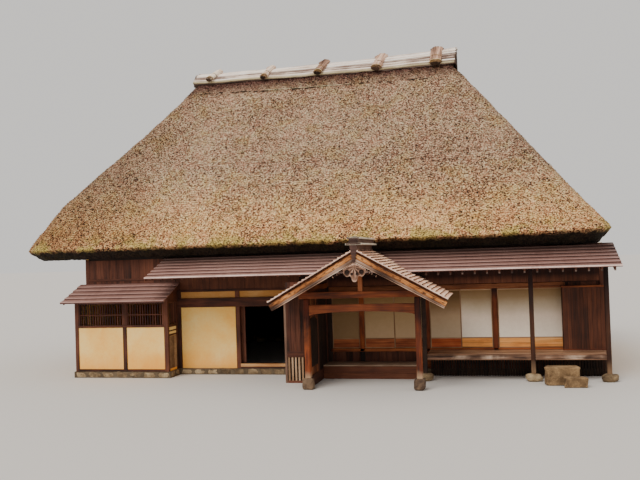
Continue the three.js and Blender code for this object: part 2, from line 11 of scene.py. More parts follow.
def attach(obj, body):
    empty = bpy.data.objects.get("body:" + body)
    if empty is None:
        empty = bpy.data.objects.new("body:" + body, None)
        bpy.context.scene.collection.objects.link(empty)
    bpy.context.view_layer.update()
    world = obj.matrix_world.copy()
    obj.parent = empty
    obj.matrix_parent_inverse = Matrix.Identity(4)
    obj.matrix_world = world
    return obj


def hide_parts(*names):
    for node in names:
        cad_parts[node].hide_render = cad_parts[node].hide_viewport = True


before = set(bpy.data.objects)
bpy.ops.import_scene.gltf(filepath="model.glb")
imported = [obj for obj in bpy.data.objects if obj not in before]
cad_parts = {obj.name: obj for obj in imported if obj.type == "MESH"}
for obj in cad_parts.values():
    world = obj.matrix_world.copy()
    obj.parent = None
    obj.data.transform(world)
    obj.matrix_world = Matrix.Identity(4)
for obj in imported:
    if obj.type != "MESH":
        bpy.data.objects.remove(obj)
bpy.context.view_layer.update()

# Every piece is drawn from the post in the middle of the porch's screens, as the solids are.
ORIGIN = np.array([1.97, -3.12, 0.0])
KEN = 1.97    # from post to post
CENTRE = np.array([-1.97, 4.4325])    # of the thatched roof
EAVE_Z = 4.095
CROWN_Z = 10.33
X, Y, Z = np.eye(3)


# Shapes.

def at(x, y, z):
    """Points from their x, y and z, each a number or an array."""
    return np.stack(np.broadcast_arrays(x, y, z), -1).astype(float)


def unit(v):
    return v / np.maximum(np.linalg.norm(v, axis=-1, keepdims=True), 1e-9)


def waves(points, count, shortest, longest, seed):
    """A smooth random field of about unit size: cosines of random directions, lengths and phases, summed."""
    rng = np.random.default_rng(seed)
    k = rng.normal(size=(count, points.shape[-1]))
    k *= 2 * np.pi / rng.uniform(shortest, longest, (count, 1)) / np.linalg.norm(k, axis=1, keepdims=True)
    return np.cos(points @ k.T + rng.uniform(0, 2 * np.pi, count)).sum(-1) * math.sqrt(2 / count)


def part(points, faces, local, tone=0.5):
    """Packs a closed shape: points, face arrays, and a grain coordinate and a tone for each point. It is
    turned right side out if its signed volume is negative."""
    points = points.reshape(-1, 3)
    volume = sum(np.einsum("ij,ij->", points[f[:, 0]], np.cross(points[f[:, k]], points[f[:, k + 1]]))
                 for f in faces for k in range(1, f.shape[1] - 1))
    faces = [f[:, ::-1] if volume < 0 else f for f in faces]
    tone = np.ravel(tone) * np.ones(len(points))
    return {"points": points, "faces": faces, "local": local.reshape(-1, 3), "tone": tone}


def joined(parts):
    """Several parts as one, their point numbers moved along."""
    start = np.cumsum([0] + [len(p["points"]) for p in parts])
    whole = {key: np.concatenate([p[key] for p in parts]) for key in ("points", "local", "tone")}
    return whole | {"faces": [f + s for p, s in zip(parts, start) for f in p["faces"]]}


def placed(name, data):
    """A new object in the scene, at the origin."""
    obj = bpy.data.objects.new(name, data)
    bpy.context.scene.collection.objects.link(obj)
    return obj


def piece(name, shape, look, body="house", replaces=(), smooth=False):
    """One mesh object from a part or a list of parts, at the origin, riding on its body."""
    shape = joined(shape) if isinstance(shape, list) else shape
    points = shape["points"] + ORIGIN
    loops = np.concatenate([f.ravel() for f in shape["faces"]]).astype(np.int32)
    sizes = np.concatenate([np.full(len(f), f.shape[1]) for f in shape["faces"]])
    mesh = bpy.data.meshes.new(name)
    mesh.vertices.add(len(points))
    mesh.vertices.foreach_set("co", points.ravel())
    mesh.loops.add(len(loops))
    mesh.loops.foreach_set("vertex_index", loops)
    mesh.polygons.add(len(sizes))
    mesh.polygons.foreach_set("loop_start", (np.cumsum(sizes) - sizes).astype(np.int32))
    mesh.polygons.foreach_set("use_smooth", np.full(len(sizes), smooth))
    mesh.update(calc_edges=True)
    kind = "POINT" if len(shape["local"]) == len(points) else "CORNER"
    mesh.attributes.new("local", "FLOAT_VECTOR", kind).data.foreach_set("vector", shape["local"].ravel())
    mesh.attributes.new("tone", "FLOAT", "POINT").data.foreach_set("value", shape["tone"])
    mesh.materials.append(LOOK[look])
    obj = placed(name, mesh)
    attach(obj, body)
    if replaces:
        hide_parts(*replaces)


def bands(rows, cols):
    """Four-cornered faces between neighbouring rings of cols points."""
    i = np.arange(cols)
    j = (i + 1) % cols
    base = (np.arange(rows - 1) * cols)[:, None]
    return np.stack([base + i, base + j, base + cols + j, base + cols + i], -1).reshape(-1, 4)


def shells(rows, cols, count=1):
    """Faces of closed shells, each of rows rings and then one point for its first end and one for its last."""
    i = np.arange(cols)
    j = (i + 1) % cols
    n = rows * cols
    fans = [np.broadcast_arrays(n, j, i), np.broadcast_arrays(n + 1, n - cols + i, n - cols + j)]
    ends = np.concatenate([np.stack(fan, 1) for fan in fans])
    move = (np.arange(count) * (n + 2))[:, None, None]
    return [(bands(rows, cols) + move).reshape(-1, 4), (ends + move).reshape(-1, 3)]


def sticks(a, b, width, depth, side=X, chamfer=0.006, seed=1):
    """Straight members: a rectangle with cut corners carried from each point a to its point b. The ends are
    drawn in by the chamfer too. The width lies along side, the depth across it."""
    a, b = np.broadcast_arrays(np.atleast_2d(a).astype(float), b)
    n = len(a)
    rng = np.random.default_rng(seed)
    length = np.linalg.norm(b - a, axis=1)[:, None]
    along = unit(b - a)
    side = unit(side - along * (side * along).sum(1, keepdims=True))
    up = np.cross(along, side)
    w, d = (np.broadcast_to(np.divide(size, 2), (n,))[:, None] for size in (width, depth))
    c = np.minimum(chamfer, np.minimum(w, d) * 0.8)
    full = np.stack([np.hstack([w, w, w - c, c - w, -w, -w, c - w, w - c]),
                     np.hstack([c - d, d - c, d, d, d - c, c - d, -d, -d])], -1)
    small = full * (1 - c / w * 0.6)[..., None]
    ring = np.stack([small, full, full, small], 1)
    s = np.hstack([0 * c, c, length - c, length])[..., None]
    points = (a[:, None, None] + s[..., None] * along[:, None, None]
              + ring[..., :1] * side[:, None, None] + ring[..., 1:] * up[:, None, None])
    local = at(s, ring[..., 0], ring[..., 1]) + rng.uniform(0, 40, (n, 1, 1, 3))
    cap = np.array([[0, 1, 2, 7], [2, 3, 6, 7], [3, 4, 5, 6]])
    one = np.concatenate([bands(4, 8), cap[:, ::-1], cap + 24])
    faces = (one + 32 * np.arange(n)[:, None, None]).reshape(-1, 4)
    return part(points, [faces], local, np.repeat(rng.uniform(0, 1, n), 32))


def blocks(lo, hi, axis, chamfer=0.006, seed=1):
    """Members with edges along the axes, from lowest and highest corners, with the grain along one axis."""
    lo, hi = np.broadcast_arrays(np.atleast_2d(lo).astype(float), hi)
    a = (lo + hi) / 2
    b = a.copy()
    a[:, axis], b[:, axis] = lo[:, axis], hi[:, axis]
    across = int(axis == 0)
    size = hi - lo
    return sticks(a, b, size[:, across], size[:, 3 - axis - across], np.eye(3)[across], chamfer, seed)


def boarding(x, y, z, wide, seed, axis=2, gap=0.004, rough=0.003):
    """Boards side by side over a flat area. x, y, z are ranges; the boards run along axis, lie flat in the
    thinnest range, and vary a little in width and in how proud they stand."""
    box = np.array([x, y, z], float)
    thin = int(np.argmin(box[:, 1] - box[:, 0]))
    across = 3 - axis - thin
    count = max(1, round((box[across, 1] - box[across, 0]) / wide))
    rng = np.random.default_rng(seed)
    edges = np.linspace(*box[across], count + 1)
    edges[1:-1] += rng.uniform(-0.12, 0.12, count - 1) * wide
    lo = np.tile(box[:, 0], (count, 1))
    hi = np.tile(box[:, 1], (count, 1))
    lo[:, across] = edges[:-1] + gap / 2
    hi[:, across] = edges[1:] - gap / 2
    lo[:, thin] += rng.uniform(0, rough, count)
    hi[:, thin] -= rng.uniform(0, rough, count)
    return blocks(lo, hi, axis, 0.003, seed)


def tubes(paths, radius, sides=8, side=Y, seed=2, squash=(1.0, 1.0)):
    """Round members: a ring of the given radius carried along each path. paths is (n, k, 3); radius is
    (n, k) or (n, k, sides). squash gives the ring's width and depth factors. The ends close on a point."""
    n, k, _ = paths.shape
    radius = radius if np.ndim(radius) == 3 else np.broadcast_to(radius, (n, k))[..., None]
    along = unit(np.gradient(paths, axis=1))
    ref = unit(side - along * (side * along).sum(-1, keepdims=True))
    up = np.cross(along, ref)
    angle = np.arange(sides) / sides * 2 * np.pi
    c = radius * np.cos(angle) * squash[0]
    s = radius * np.sin(angle) * squash[1]
    rings = paths[:, :, None] + c[..., None] * ref[:, :, None] + s[..., None] * up[:, :, None]
    run = np.cumsum(np.linalg.norm(np.diff(paths, axis=1, prepend=paths[:, :1]), axis=-1), 1)
    rng = np.random.default_rng(seed)
    shift = rng.uniform(0, 40, (n, 1, 1, 3))
    local = [(at(run[..., None], c, s) + shift).reshape(n, -1, 3), at(run[:, [0, -1]], 0, 0) + shift[:, 0]]
    points = np.concatenate([rings.reshape(n, -1, 3), paths[:, [0, -1]]], 1)
    tone = np.repeat(rng.uniform(0, 1, n), k * sides + 2)
    return part(points, shells(k, sides, n), np.concatenate(local, 1), tone)


def slab(top, bottom, local=None, tone=0.5):
    """A closed sheet between two grids of points of one shape, with walls along its four edges."""
    rows, cols = top.shape[:2]
    n = rows * cols
    index = np.arange(n).reshape(rows, cols)
    face = np.stack([index[:-1, :-1], index[1:, :-1], index[1:, 1:], index[:-1, 1:]], -1).reshape(-1, 4)
    edge = np.concatenate([index[0], index[1:, -1], index[-1, -2::-1], index[-2:0:-1, 0]])
    after = np.roll(edge, -1)
    wall = np.stack([edge, after, after + n, edge + n], 1)
    local = np.stack([top if local is None else local] * 2)
    local[1] += [0, 0, 0.03]
    tone = np.tile(np.broadcast_to(tone, (rows, cols)).ravel(), 2)
    return part(np.stack([top, bottom]), [face, face[:, ::-1] + n, wall], local, tone)


def stones(centre, half, seed, flat, across, down):
    """Rounded stones: a superellipsoid, squarer as flat nears 0, swollen and dented by a random field and cut
    off level at its foot. centre and half are (n, 3)."""
    centre, half = np.broadcast_arrays(np.atleast_2d(centre).astype(float), half)
    n = len(centre)
    rng = np.random.default_rng(seed)
    u = np.arange(across) / across * 2 * np.pi
    v = np.linspace(-np.pi / 2, np.pi / 2, down)[:, None]
    power = lambda value: np.sign(value) * np.abs(value) ** flat
    direction = at(power(np.cos(v)) * power(np.cos(u)), power(np.cos(v)) * power(np.sin(u)), power(np.sin(v)))
    shift = rng.uniform(0, 50, (n, 1, 1, 3))
    swell = 0.95 + 0.05 * waves(direction + shift, 12, 0.7, 2.2, seed)
    grid = centre[:, None, None] + direction * half[:, None, None] * swell[..., None]
    grid[..., 2] = np.maximum(grid[..., 2], np.maximum(centre - half, 0)[:, None, None, 2])
    points = np.concatenate([grid[:, 1:-1].reshape(n, -1, 3), grid[:, [0, -1], 0]], 1)
    tone = np.repeat(rng.uniform(0, 1, n), points.shape[1])
    return part(points, shells(down - 2, across, n), points + shift[:, 0] * 0.3, tone)


def swept(xs, outline):
    """A profile of (y, z) pairs carried along x."""
    return at(xs[:, None], outline[:, 0], outline[:, 1])


# Materials.

LOOK = {}


def rgb(colour):
    """A colour given as it looks on a screen, 0 to 255, turned to linear light. A socket stays as it is."""
    if not isinstance(colour, tuple):
        return colour
    c = np.array(colour) / 255
    linear = np.where(c <= 0.04045, c / 12.92, ((c + 0.055) / 1.055) ** 2.4)
    return (*linear.tolist(), 1.0)


class Wiring:
    """Short calls for shader nodes: values are set, sockets are linked."""

    def __init__(self, tree):
        self.tree = tree

    def fill(self, node, inputs):
        for key, value in inputs.items():
            if isinstance(value, bpy.types.NodeSocket):
                self.tree.links.new(value, node.inputs[key])
            else:
                node.inputs[key].default_value = value
        return node

    def add(self, kind, inputs=None, **props):
        node = self.tree.nodes.new(kind)
        for key, value in props.items():
            setattr(node, key, value)
        return self.fill(node, inputs or {})

    def group(self, name, **inputs):
        return self.add("ShaderNodeGroup", inputs, node_tree=bpy.data.node_groups[name]).outputs

    def place(self):
        return self.add("ShaderNodeTexCoord").outputs["Object"]

    def own(self, name, kind="Fac"):
        """What the piece's mesh stores under a name."""
        return self.add("ShaderNodeAttribute", attribute_name=name).outputs[kind]

    def split(self, vector):
        return self.add("ShaderNodeSeparateXYZ", {0: vector}).outputs

    def times(self, a, b, clamp=False):
        return self.add("ShaderNodeMath", {0: a, 1: b}, operation="MULTIPLY", use_clamp=clamp).outputs[0]

    def total(self, *terms, plus=0.0):
        """The sum of values, each times its factor, and of one more value."""
        for value, factor in terms:
            node = self.add("ShaderNodeMath", {0: value, 1: factor, 2: plus}, operation="MULTIPLY_ADD")
            plus = node.outputs[0]
        return plus

    def span(self, value, low, high, start=0.0, stop=1.0):
        return self.add("ShaderNodeMapRange", {"Value": value, "From Min": low, "From Max": high,
                                               "To Min": start, "To Max": stop}).outputs[0]

    def below(self, place, low, high, ragged):
        """1 under the first height and 0 over the second; 1 over the first where that is the higher one."""
        return self.group("height_mask", Vector=place, Low=low, High=high, Ragged=ragged)[0]

    def blend(self, fac, a, b, mode="MIX"):
        return self.add("ShaderNodeMix", {0: fac, 6: rgb(a), 7: rgb(b)}, data_type="RGBA",
                        blend_type=mode).outputs[2]

    def tint(self, fac, a, b):
        return self.blend(fac, a, b, "MULTIPLY")

    def ramp(self, value, *stops):
        node = self.add("ShaderNodeValToRGB", {0: value})
        elements = node.color_ramp.elements
        while len(elements) < len(stops):
            elements.new(0.5)
        for element, (place, colour) in zip(elements, stops):
            element.position = place
            element.color = rgb(colour)
        return node.outputs[0]

    def scaled(self, vector, factors):
        return self.add("ShaderNodeVectorMath", {0: vector, 1: factors}, operation="MULTIPLY").outputs[0]

    def noise(self, vector, scale, detail, rough, twist=0.0):
        """Noise at one scale, or at three where it is stretched."""
        if isinstance(scale, tuple):
            vector, scale = self.scaled(vector, scale), 1.0
        return self.add("ShaderNodeTexNoise", {"Vector": vector, "Scale": scale, "Detail": detail,
                                               "Roughness": rough, "Distortion": twist}).outputs[0]

    def bump(self, height, distance, strength):
        inputs = {"Height": height, "Distance": distance, "Strength": strength}
        return self.add("ShaderNodeBump", inputs).outputs[0]


def effect(make, *numbers):
    """A shader group of a vector and named numbers; what make gives, by name, are its outputs."""
    tree = bpy.data.node_groups.new(make.__name__, "ShaderNodeTree")
    for key in ("Vector", *numbers):
        kind = "NodeSocketVector" if key == "Vector" else "NodeSocketFloat"
        tree.interface.new_socket(key, in_out="INPUT", socket_type=kind)
    t = Wiring(tree)
    made = make(t, *list(t.add("NodeGroupInput").outputs)[:1 + len(numbers)])
    for key in made:
        tree.interface.new_socket(key, in_out="OUTPUT", socket_type="NodeSocketFloat")
    t.fill(t.add("NodeGroupOutput"), made)


def wood_grain(t, vector):
    """Fine lines and broad tones drawn out along the grain, and dark checks where a third noise is high."""
    return {"Line": t.noise(vector, (1.4, 55.0, 55.0), 5.0, 0.6, 0.3),
            "Broad": t.noise(vector, (0.9, 6.0, 6.0), 3.0, 0.5, 0.4),
            "Crack": t.span(t.noise(vector, (0.8, 34.0, 34.0), 3.0, 0.5), 0.62, 0.72)}


def blotches(t, vector, size):
    """Large soft blotches, and specks 14 times finer."""
    near = t.add("ShaderNodeVectorMath", {0: vector, "Scale": size}, operation="SCALE").outputs[0]
    return {"Blotch": t.noise(near, 1.0, 5.0, 0.55, 0.4), "Speck": t.noise(near, 14.0, 4.0, 0.7)}


def height_mask(t, vector, low, high, ragged):
    """1 below a height, 0 above another, the heights moved up and down by noise."""
    rough = t.total((t.noise(vector, (5.0, 5.0, 2.0), 5.0, 0.6), 1.0), plus=-0.5)
    return {"Mask": t.span(t.total((rough, ragged), plus=t.split(vector)[2]), low, high, 1.0, 0.0)}


def straw(t, vector):
    """Short streaks, clumps, fine litter, and cells that each have the shade of one cut end."""
    cells = t.add("ShaderNodeTexVoronoi", {"Vector": t.scaled(vector, (34.0, 28.0, 26.0)), "Scale": 1.0})
    return {"Streak": t.noise(vector, (18.0, 16.0, 11.0), 4.0, 0.75, 0.3),
            "Clump": t.noise(vector, (5.0, 4.2, 3.4), 5.0, 0.7, 0.5),
            "Fine": t.noise(vector, (52.0, 40.0, 30.0), 3.0, 0.8),
            "End": t.add("ShaderNodeSeparateColor", {0: cells.outputs["Color"]}).outputs[0]}


def surface(name, rough, metal=0.0):
    """A new entry in LOOK; returns its wiring, its shader node and its Object coordinates."""
    material = LOOK[name] = bpy.data.materials.new(name)
    material.use_nodes = True
    t = Wiring(material.node_tree)
    shader = t.tree.nodes["Principled BSDF"]
    t.fill(shader, {"Roughness": rough, "Metallic": metal, "Specular IOR Level": 0.3})
    return t, shader, t.place()


def timber(name, dark, mid, light, rough=0.72, order=None, grey=None, greyness=0.0, foot=None, head=None,
           depth=0.003, knots=False, spread=0.22):
    """Weathered wood: grain lines over broad tones, dark checks and knots, a grey bloom, a bleached foot and a
    head darkened by painted shade under the eaves. foot and head are a lower height, an upper one and a
    colour. The grain follows the piece's own attribute, or Object coordinates with their axes in the given
    order."""
    t, shader, vector = surface(name, rough)
    place = vector
    if order is None:
        vector = t.own("local", "Vector")
    else:
        axes = t.split(place)
        vector = t.add("ShaderNodeCombineXYZ", {i: axes[k] for i, k in enumerate(order)}).outputs[0]
    line, broad, crack = t.group("wood_grain", Vector=vector)
    blotch = t.group("blotches", Vector=place, Size=1.3)[0]
    level = t.total((line, 0.5), (broad, 0.45), (t.own("tone"), spread), (blotch, 0.35),
                    plus=-spread / 2 - 0.175)
    colour = t.ramp(level, (0.3, dark), (0.48, mid), (0.68, light))
    if grey:
        bloom = t.span(t.total((line, 0.35), plus=blotch), 0.86 - greyness, 1.1 - greyness)
        colour = t.blend(bloom, colour, grey)
    if foot:
        low, high, pale = foot
        colour = t.blend(t.below(place, low, high, (high - low) * 1.2), colour, pale)
    # Painted shade: the head goes darker where the eaves hang over it.
    if head:
        low, high, painted_shade = head
        colour = t.tint(t.below(place, high, low, 0.05), colour, painted_shade)
    colour = t.blend(t.times(crack, 0.6), colour, dark)
    if knots:
        spots = t.noise(vector, (7.0, 26.0, 26.0), 2.0, 0.5)
        colour = t.blend(t.span(spots, 0.54, 0.6, 0.0, 0.9), colour, dark)
    t.fill(shader, {"Base Color": colour, "Normal": t.bump(t.total((line, 0.6), (crack, -1.0)), depth, 0.7),
                    "Roughness": t.span(line, 0.3, 0.7, rough - 0.1, rough + 0.12)})


def clay_plaster(name, base, low, pale, bottom, top):
    """Clay wall: soft mottling and fine grit, and an orange stain that climbs from its foot."""
    t, shader, place = surface(name, 0.92)
    blotch, speck = t.group("blotches", Vector=place, Size=0.9)
    colour = t.ramp(t.total((blotch, 0.8), (speck, 0.25)), (0.22, low), (0.48, base), (0.76, pale))
    colour = t.blend(t.times(t.below(place, bottom, top, 0.6), 0.7), colour, low)
    t.fill(shader, {"Base Color": colour, "Normal": t.bump(t.total((speck, 1.0), plus=blotch), 0.004, 0.5)})


def thatch_look(name):
    """Old thatch: cut straw ends and tufts, with dark gaps of painted shade and pale ends of painted highlight,
    in patches of pink and olive, greyer high up, mossy at the lip. Painted shade makes it darker and greyer
    towards the ends and darker in a band under the ridge. The tone is 1 on the cut eave and underside, painted
    nearly black with shade."""
    t, shader, place = surface(name, 1.0)
    streak, clump, fine, end = t.group("straw", Vector=t.own("local", "Vector"))
    blotch = t.group("blotches", Vector=place, Size=0.45)[0]
    level = t.total((streak, 0.6), (clump, 0.25), (fine, 0.24), (end, 0.24), (blotch, 0.16), plus=-0.2)
    # The darkest stop paints shade in the gaps between tufts, the palest paints highlights on straw ends.
    colour = t.ramp(level, (0.466, (42, 33, 27)), (0.52, (160, 119, 91)), (0.56, (255, 199, 152)),
                    (0.61, (255, 246, 200)))
    colour = t.tint(t.below(place, 6.6, 4.6, 1.6), colour, (212, 202, 208))
    colour = t.tint(t.below(place, 4.6, 6.6, 1.6), colour, (255, 232, 208))
    hue = t.noise(place, 1.6, 3.0, 0.6)
    colour = t.tint(t.span(hue, 0.52, 0.34, 0.0, 0.6), colour, (250, 228, 228))
    colour = t.tint(t.span(hue, 0.5, 0.66, 0.0, 0.6), colour, (240, 234, 196))
    # Painted shade: darker and greyer towards both ends of the roof, most on the left.
    across = t.split(place)[0]
    colour = t.tint(t.span(across, -3.6, -9.2), colour, (188, 178, 168))
    colour = t.tint(t.span(across, 3.6, 9.2, 0.0, 0.3), colour, (200, 194, 184))
    # Painted shade: a darker purple-grey band under the ridge cover.
    colour = t.tint(t.below(place, 10.05, 9.5, 0.5), colour, (138, 114, 122))
    patches = t.span(t.noise(place, 1.6, 5.0, 0.65), 0.46, 0.54)
    moss = t.times(t.below(place, 4.12, 4.5, 0.6), patches, clamp=True)
    tuft = t.span(t.total((end, 0.3), plus=streak), 0.5, 0.8)
    colour = t.blend(t.times(moss, 0.9), colour, t.blend(tuft, (54, 42, 14), (226, 200, 112)))
    # Painted shade: where the tone is high, the cut eave and the inside go nearly black.
    colour = t.blend(t.times(t.own("tone"), 0.97), colour, (17, 13, 11))
    height = t.total((streak, 0.7), (fine, 0.4), plus=clump)
    t.fill(shader, {"Base Color": colour, "Normal": t.bump(height, 0.04, 1.0)})


def metal_sheet(name, dark, mid, light):
    """Painted sheet metal: faint blotches and runs, and painted shade where the thatch hangs over it. The tone
    is high on the noses, painted pale as a highlight, and low in the hollows under them, painted dark as shade."""
    t, shader, place = surface(name, 0.4, 0.25)
    blotch, speck = t.group("blotches", Vector=place, Size=0.9)
    runs = t.noise(place, (9.0, 1.5, 1.5), 4.0, 0.6)
    # The tone paints a highlight on each nose and shade in the hollow under it.
    level = t.total((blotch, 0.24), (runs, 0.16), (t.own("tone"), 0.5))
    colour = t.ramp(level, (0.15, (84, 54, 48)), (0.38, dark), (0.52, mid), (0.74, light))
    # Painted shade under the thatch's eave, darkest at the top of the sheets.
    colour = t.blend(t.times(t.below(place, 3.62, 3.3, 0.06), 0.72), colour, (40, 26, 23))
    colour = t.tint(t.span(t.split(place)[0], 3.0, 9.0, 0.0, 0.6), colour, (196, 184, 184))
    t.fill(shader, {"Base Color": colour, "Roughness": t.span(speck, 0.3, 0.7, 0.34, 0.5)})


def screen_paper(name, *colours):
    """Paper with faint fibres, browner at its top with painted shade from the eaves. Its colours belong to five
    heights from 1.2 to 2.45 m.
    """
    t, shader, place = surface(name, 0.9)
    blotch, speck = t.group("blotches", Vector=place, Size=0.7)
    height = t.total((blotch, 0.3), (t.split(place)[2], 1.0), plus=-0.15)
    colour = t.ramp(t.span(height, 1.2, 2.45), *zip((0.0, 0.4, 0.62, 0.84, 1.0), colours))
    colour = t.tint(t.span(speck, 0.35, 0.65, 0.0, 0.12), colour, (200, 180, 150))
    t.fill(shader, {"Base Color": colour})


def mottled(name, dark, mid, light, size, rough=0.85, depth=0.006):
    """Stone, bark, rope and painted edges: blotches and specks between three colours."""
    t, shader, place = surface(name, rough)
    blotch, speck = t.group("blotches", Vector=place, Size=size)
    level = t.total((blotch, 0.6), (speck, 0.4), (t.own("tone"), 0.18), plus=-0.09)
    t.fill(shader, {"Base Color": t.ramp(level, (0.35, dark), (0.5, mid), (0.66, light)),
                    "Normal": t.bump(t.total((speck, 1.0), plus=blotch), depth, 0.6),
                    "Roughness": t.span(speck, 0.3, 0.7, rough - 0.06, rough + 0.08)})


effect(wood_grain)
effect(blotches, "Size")
effect(height_mask, "Low", "High", "Ragged")
effect(straw)
thatch_look("old_thatch")
metal_sheet("brown_sheet", (130, 92, 84), (170, 130, 120), (204, 168, 158))
clay_plaster("clay_wall", (255, 203, 112), (250, 168, 66), (255, 228, 158), 0.25, 0.8)
clay_plaster("ochre_clay", (196, 140, 78), (178, 112, 48), (214, 168, 110), 0.0, 0.1)
screen_paper("screen_paper", (255, 243, 226), (250, 230, 210), (214, 194, 166), (164, 136, 100), (140, 108, 72))
# Copies of the paper in painted shade: beside the porch, under it, and deepest at its left end.
screen_paper("shaded_paper", (200, 176, 146), (186, 157, 124), (148, 116, 82), (114, 84, 52), (104, 74, 43))
screen_paper("porch_shade_paper", (204, 172, 134), (190, 158, 116), (180, 146, 102), (160, 124, 80), (146, 112, 70))
screen_paper("dim_paper", (160, 128, 92), (152, 120, 84), (142, 110, 74), (120, 90, 58), (108, 80, 50))
# Timbers: a dark, a middle and a light colour.
timber("dark_boards", (38, 20, 14), (84, 46, 32), (118, 70, 50))
# Red posts of the screens, their heads darkened by painted shade.
timber("red_timber", (32, 11, 5), (104, 46, 19), (154, 82, 44), head=(2.2, 2.45, (112, 90, 76)))
# A lighter copy of the red posts' wood: painted light for the post in the porch's shade.
timber("lit_red_post", (48, 18, 8), (142, 68, 32), (192, 108, 56))
# Porch posts, their heads darkened by painted shade under the porch roof.
timber("worn_red_posts", (26, 9, 4), (100, 42, 17), (196, 98, 44), grey=(30, 13, 7), greyness=0.2,
       foot=(0.3, 0.52, (176, 146, 116)), head=(1.6, 1.95, (136, 116, 110)))
# Verandah posts, their heads darkened by painted shade under the metal roof.
timber("brown_posts", (24, 11, 6), (56, 29, 16), (88, 50, 30), foot=(0.25, 0.6, (124, 96, 70)),
       head=(1.7, 2.6, (156, 96, 60)))
timber("smoky_boards", (58, 31, 20), (92, 50, 32), (118, 70, 46), spread=0.06)
# Boards whose top goes darker with painted shade under the metal roof's edge.
timber("shade_topped_boards", (60, 33, 22), (104, 58, 39), (134, 80, 56), spread=0.06,
       head=(2.74, 2.9, (132, 116, 116)))
timber("shutter_boards", (40, 19, 11), (74, 38, 23), (104, 57, 35), spread=0.14)
timber("head_beam", (68, 34, 18), (124, 70, 41), (166, 106, 68))
timber("door_sill", (116, 72, 40), (182, 128, 80), (212, 166, 116), 0.85)
timber("ridge_plates", (126, 118, 102), (200, 192, 174), (240, 234, 220), 0.85)
timber("ridge_core", (54, 38, 32), (88, 66, 57), (124, 98, 86), 0.85)
timber("ridge_front", (40, 25, 21), (78, 54, 47), (120, 90, 80), 0.85)
timber("split_edge", (176, 140, 122), (234, 206, 190), (255, 240, 228), 0.85)
# Lighter than the red beams: painted light on the king post in the gable's shade.
timber("king_post", (88, 40, 20), (142, 76, 42), (180, 112, 70))
timber("red_beams", (58, 24, 12), (116, 56, 27), (168, 94, 50))
timber("orange_boards", (58, 28, 13), (172, 106, 52), (236, 172, 108), grey=(140, 104, 80), greyness=0.14,
       knots=True, spread=0.3)
timber("grey_band", (60, 42, 34), (140, 110, 92), (196, 166, 148), 0.85, spread=0.4)
timber("pale_slats", (104, 74, 52), (172, 138, 106), (208, 178, 146), 0.85)
timber("worn_floor", (78, 50, 36), (148, 108, 80), (190, 152, 122), 0.45)
timber("worn_edge", (54, 33, 24), (144, 107, 84), (204, 170, 146), 0.6, grey=(206, 180, 158), greyness=0.18)
timber("low_boards", (118, 50, 27), (178, 80, 44), (216, 126, 74), spread=0.1)
# Lit and shaded copies of the low boards: painted light right of the porch, painted shade under it.
timber("lit_low_boards", (186, 112, 52), (246, 166, 88), (255, 200, 134), spread=0.1)
timber("shaded_low_boards", (82, 38, 20), (154, 80, 46), (198, 116, 70), spread=0.1)
timber("grey_timber", (78, 58, 46), (134, 108, 88), (176, 152, 130), 0.85)
timber("shingles", (56, 27, 18), (222, 160, 126), (255, 216, 186), 0.85, depth=0.004, spread=0.42)
timber("dark_grey_wood", (50, 38, 34), (92, 74, 66), (128, 108, 98), 0.85)
timber("silver_bamboo", (134, 108, 96), (255, 236, 220), (255, 254, 250), 0.6, spread=0.3)
timber("old_poles", (92, 80, 56), (176, 160, 124), (216, 204, 170), 0.7)
timber("bound_straw", (66, 40, 28), (206, 164, 138), (255, 240, 220), 0.95, spread=0.4)
timber("pale_wood", (120, 84, 58), (160, 122, 90), (190, 156, 122), 0.8)
timber("bleached_post", (70, 48, 38), (118, 90, 74), (156, 128, 108), 0.85)
timber("carved_wood", (40, 22, 14), (118, 82, 62), (206, 168, 146), order=(2, 0, 1), depth=0.004, spread=0.4)
# Nearly black wood: painted shade for the shaded posts, the back of the porch's side wall and its recessed
# panel.
timber("shade_panel_wood", (20, 13, 10), (40, 26, 19), (60, 40, 30), order=(2, 0, 1))
# Very dark wood: painted shade for timber deep under the eaves, under the floor, behind the slats and inside.
timber("shade_dark_wood", (24, 15, 11), (44, 28, 20), (66, 44, 32), order=(0, 1, 2))
# A pale colour for the eave's drip edge: a painted highlight along the edge of the sheets.
mottled("drip_edge_highlight", (210, 176, 166), (238, 208, 198), (250, 228, 220), 2.0, 0.5, 0.001)
mottled("pale_rope", (150, 124, 80), (204, 180, 132), (236, 218, 176), 6.0, 0.95)
mottled("straw_rope", (70, 50, 30), (112, 84, 50), (150, 118, 74), 6.0, 0.95)
mottled("dark_bark", (30, 22, 18), (52, 38, 30), (82, 62, 48), 3.0, 0.95)
mottled("field_stone", (76, 60, 44), (132, 110, 82), (186, 164, 130), 4.0, 0.92, 0.014)
mottled("post_stone", (42, 31, 25), (80, 62, 50), (128, 104, 82), 4.0, 0.92, 0.014)
mottled("brown_clay", (96, 72, 52), (140, 110, 82), (180, 148, 112), 1.6, 0.92, 0.004)
mottled("old_step", (92, 70, 48), (156, 126, 90), (192, 166, 122), 3.0, 0.92, 0.012)
mottled("mortar_bed", (84, 70, 54), (112, 96, 76), (138, 120, 96), 3.0, 0.95)


# Camera, light and floor.

